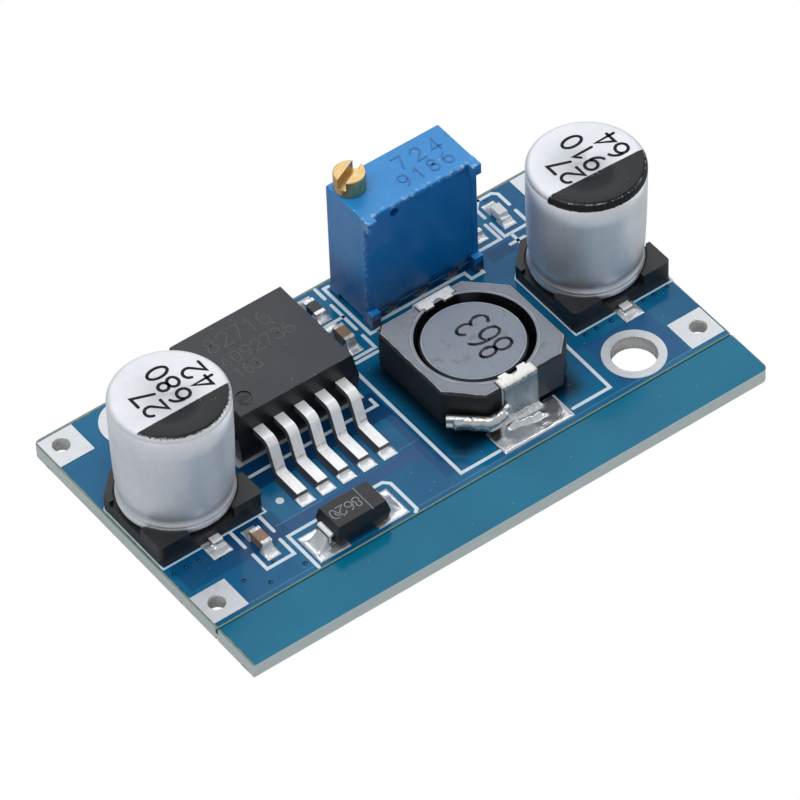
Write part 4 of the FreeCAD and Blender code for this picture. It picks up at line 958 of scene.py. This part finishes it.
def lumpy_tube(build, line, radii, seed):
    """A thick uneven coat of tin along a line, closed at both ends."""
    around, spacing, smoothings = 18, 0.07, 5
    path = []
    for start, end in zip(line, line[1:]):
        steps = max(2, round((Vector(end) - Vector(start)).length / spacing))
        path += [Vector(start).lerp(Vector(end), k / steps) for k in range(steps)]
    path.append(Vector(line[-1]))
    for _ in range(smoothings):
        path = [path[0]] + [(a + b * 2 + c) / 4 for a, b, c in zip(path, path[1:], path[2:])] + [path[-1]]
    count = len(path)
    points = []
    for i, centre in enumerate(path):
        tangent = (path[min(i + 1, count - 1)] - path[max(i - 1, 0)]).normalized()
        side = tangent.cross(Vector((0, 0, 1))).normalized()
        up = side.cross(tangent)
        share = i / (count - 1)
        cap = math.sqrt(max(0.02, 1 - (1 - min(1, share * count / 5, (1 - share) * count / 5)) ** 2))
        for k in range(around):
            turn = 2 * math.pi * k / around
            lump = 1 + 0.2 * noise.noise(Vector((i * 0.11, math.cos(turn) * 0.9, math.sin(turn) * 0.9 + seed)))
            lump += 0.07 * noise.noise(Vector((i * 0.35, math.cos(turn) * 2.2, math.sin(turn) * 2.2 + seed)))
            wide, high = (radius * lump * cap for radius in radii)
            points.append(centre + side * (wide * math.cos(turn)) + up * (high * math.sin(turn)))
    ends = [tuple(reversed(range(around))), tuple(range((count - 1) * around, count * around))]
    build.add(points, ring_faces(count, around) + ends)


def make_tails():
    """Tin on the winding's two ends, a half-turn apart."""
    line = [(0.94, -6.4, 2.45), (2.9, -8.2, 2.45), (3.7, -8.2, 2.5), (4.35, -8.16, 2.85)]
    half_turn = [(2 * inductor_x - x, 2 * inductor_y - y, z) for x, y, z in line]
    for name, path, seed in (("front", line, 0.0), ("rear", half_turn, 6.0)):
        build = Build()
        lumpy_tube(build, path, (0.42, 0.62), seed)
        build.piece("tinned_tail_" + name, "bright_tin", smooth=True)


def make_prints():
    """Plain digits where the real parts carry print."""
    ink = Build()
    cans = ((input_can_x, -0.1, ("27", "680", "42")), (output_can_x + 0.05, 0.0, ("27", "910", "64")))
    for x, y, rows in cans:
        top = Plane((x, y, can_top), (0, 1, 0), (-1, 0, 0))
        for row, text in enumerate(rows):
            write(ink, top, text, (-0.8, 0.75 - 1.98 * row), 1.52, 0.23, 0.008, gap=0.34)
    ink.piece("can_digits", "ink")

    core = Build()
    top = Plane((core_x, core_y, core_top), (0, 1, 0), (-1, 0, 0))
    left, low, pitch, spacing = -1.97, -2.01, 1.335, 0.2
    for index, digit in enumerate("863"):
        for line in digits[digit]:
            points = [Vector((left + index * pitch + a * 1.02, low + b * 1.56)) for a, b in line]
            for start, end in zip(points, points[1:]):
                steps = max(1, round((end - start).length / spacing))
                for k in range(steps):
                    spot = start.lerp(end, k / steps)
                    size = 0.135 + 0.05 * lumps(spot.x, spot.y, 2.0, 5.0)
                    disc(core, top, (spot.x, spot.y), size, 0.004 + 0.0002 * k, sides=10)
    core.piece("core_digits", "burnt_mark")

    trimmer = Build()
    top = Plane((0, 0, trimmer_top))
    write(trimmer, top, "724", (7.45, 7.55), 1.2, 0.13, 0.035, gap=0.9)
    write(trimmer, top, "9186", (6.7, 6.1), 1.1, 0.13, 0.035, gap=0.75)
    trimmer.piece("trimmer_digits", "trimmer_mark")

    diode = Build()
    top = Plane((diode_x, diode_y, diode_top), (-1, 0, 0), (0, -1, 0))
    write(diode, top, "8620", (-0.62, -0.42), 0.82, 0.08, 0.004, gap=0.22)
    turned_top = Plane((diode_x, diode_y, diode_top), (0, 1, 0), (-1, 0, 0))
    write(diode, turned_top, "37", (-0.5, 1.0), 0.42, 0.05, 0.004)
    ribbon(diode, top, [(-0.85, -1.15), (-0.85, 1.15)], 0.06, 0.004)
    diode.piece("diode_marks", "pale_mark")

    body = Build()
    top = Plane(regulator_top)
    rows = (("82716", (-2.8, 1.75), 1.3), ("4092736", (-2.8, 0.1), 1.05), ("163", (-2.6, -1.2), 0.9))
    for text, place, size in rows:
        write(body, top, text, place, size, 0.1, 0.003)
    body.piece("regulator_print", "ghost_print")


make_silkscreen()
make_vias()
make_sleeves()
make_cans()
make_solder()
make_tails()
make_prints()


# Stage, light and camera, in metres

floor_half, floor_z = 2.0, -1.02 * MM
light_target = (0.0, 0.0, 0.004)
camera_place = (-0.17965259, -0.25681919, 0.33572454)
camera_turn = (0.88121056, 0.35161422, -0.10389342, -0.29839831)
camera_lens, camera_sensor = 305.9426, 36.0


def put(name, data, place, turn):
    """Adds an object, placed and turned by a quaternion."""
    made = bpy.data.objects.new(name, data)
    bpy.context.scene.collection.objects.link(made)
    made.location = place
    made.rotation_mode = "QUATERNION"
    made.rotation_quaternion = turn
    return made


def area_light(name, place, size, watts, tint):
    """A soft rectangular light on the module that the camera doesn't see."""
    light = bpy.data.lights.new(name, "AREA")
    light.shape = "RECTANGLE"
    light.size, light.size_y = size
    light.energy = watts
    light.color = tint
    turn = (Vector(light_target) - Vector(place)).to_track_quat("-Z", "Y")
    put(name, light, place, turn).visible_camera = False


def set_stage():
    """White floor and backdrop for the camera, soft grey for light, and clear from below; three lights."""
    mesh = bpy.data.meshes.new("floor")
    corners = [(x * floor_half, y * floor_half, floor_z) for x, y in ((-1, -1), (1, -1), (1, 1), (-1, 1))]
    mesh.from_pydata(corners, [], [(0, 1, 2, 3)])
    floor = bpy.data.objects.new("floor", mesh)
    bpy.context.scene.collection.objects.link(floor)
    material = bpy.data.materials.new("floor")
    tree = empty_tree(material)
    camera_ray = add_node(tree, "LightPath")["Is Camera Ray"]
    diffuse = add_node(tree, "BsdfDiffuse", {"Color": (0.55, 0.56, 0.58, 1.0)})[0]
    glow = add_node(tree, "Emission")[0]
    front = add_node(tree, "MixShader", {0: camera_ray, 1: diffuse, 2: glow})[0]
    below = add_node(tree, "NewGeometry")["Backfacing"]
    clear = add_node(tree, "BsdfTransparent")[0]
    whole = add_node(tree, "MixShader", {0: below, 1: front, 2: clear})[0]
    add_node(tree, "OutputMaterial", {0: whole})
    mesh.materials.append(material)

    world = bpy.data.worlds.new("studio")
    bpy.context.scene.world = world
    tree = empty_tree(world)
    camera_ray = add_node(tree, "LightPath")["Is Camera Ray"]
    seen = add_node(tree, "Background", {"Color": (1.0, 1.0, 1.0, 1.0)})[0]
    lit = add_node(tree, "Background", {"Color": (0.93, 0.96, 1.0, 1.0), "Strength": 0.55})[0]
    sky = add_node(tree, "MixShader", {0: camera_ray, 1: lit, 2: seen})[0]
    add_node(tree, "OutputWorld", {0: sky})

    area_light("rear_softbox", (0.16, 0.23, 0.3), (0.4, 0.3), 0.42, (1.0, 1.0, 1.0))
    area_light("overhead", (-0.12, 0.0, 0.35), (0.25, 0.25), 0.42, (1.0, 0.99, 0.98))
    area_light("right_fill", (0.32, -0.16, 0.14), (0.2, 0.2), 0.14, (0.96, 0.98, 1.0))


def set_camera():
    """The camera fitted to the photograph."""
    camera = bpy.data.cameras.new("camera")
    camera.sensor_width = camera_sensor
    camera.lens = camera_lens
    camera.clip_start = 0.01
    camera.clip_end = 10.0
    bpy.context.scene.camera = put("camera", camera, camera_place, camera_turn)


set_stage()
set_camera()
bpy.context.scene.view_settings.view_transform = "Standard"
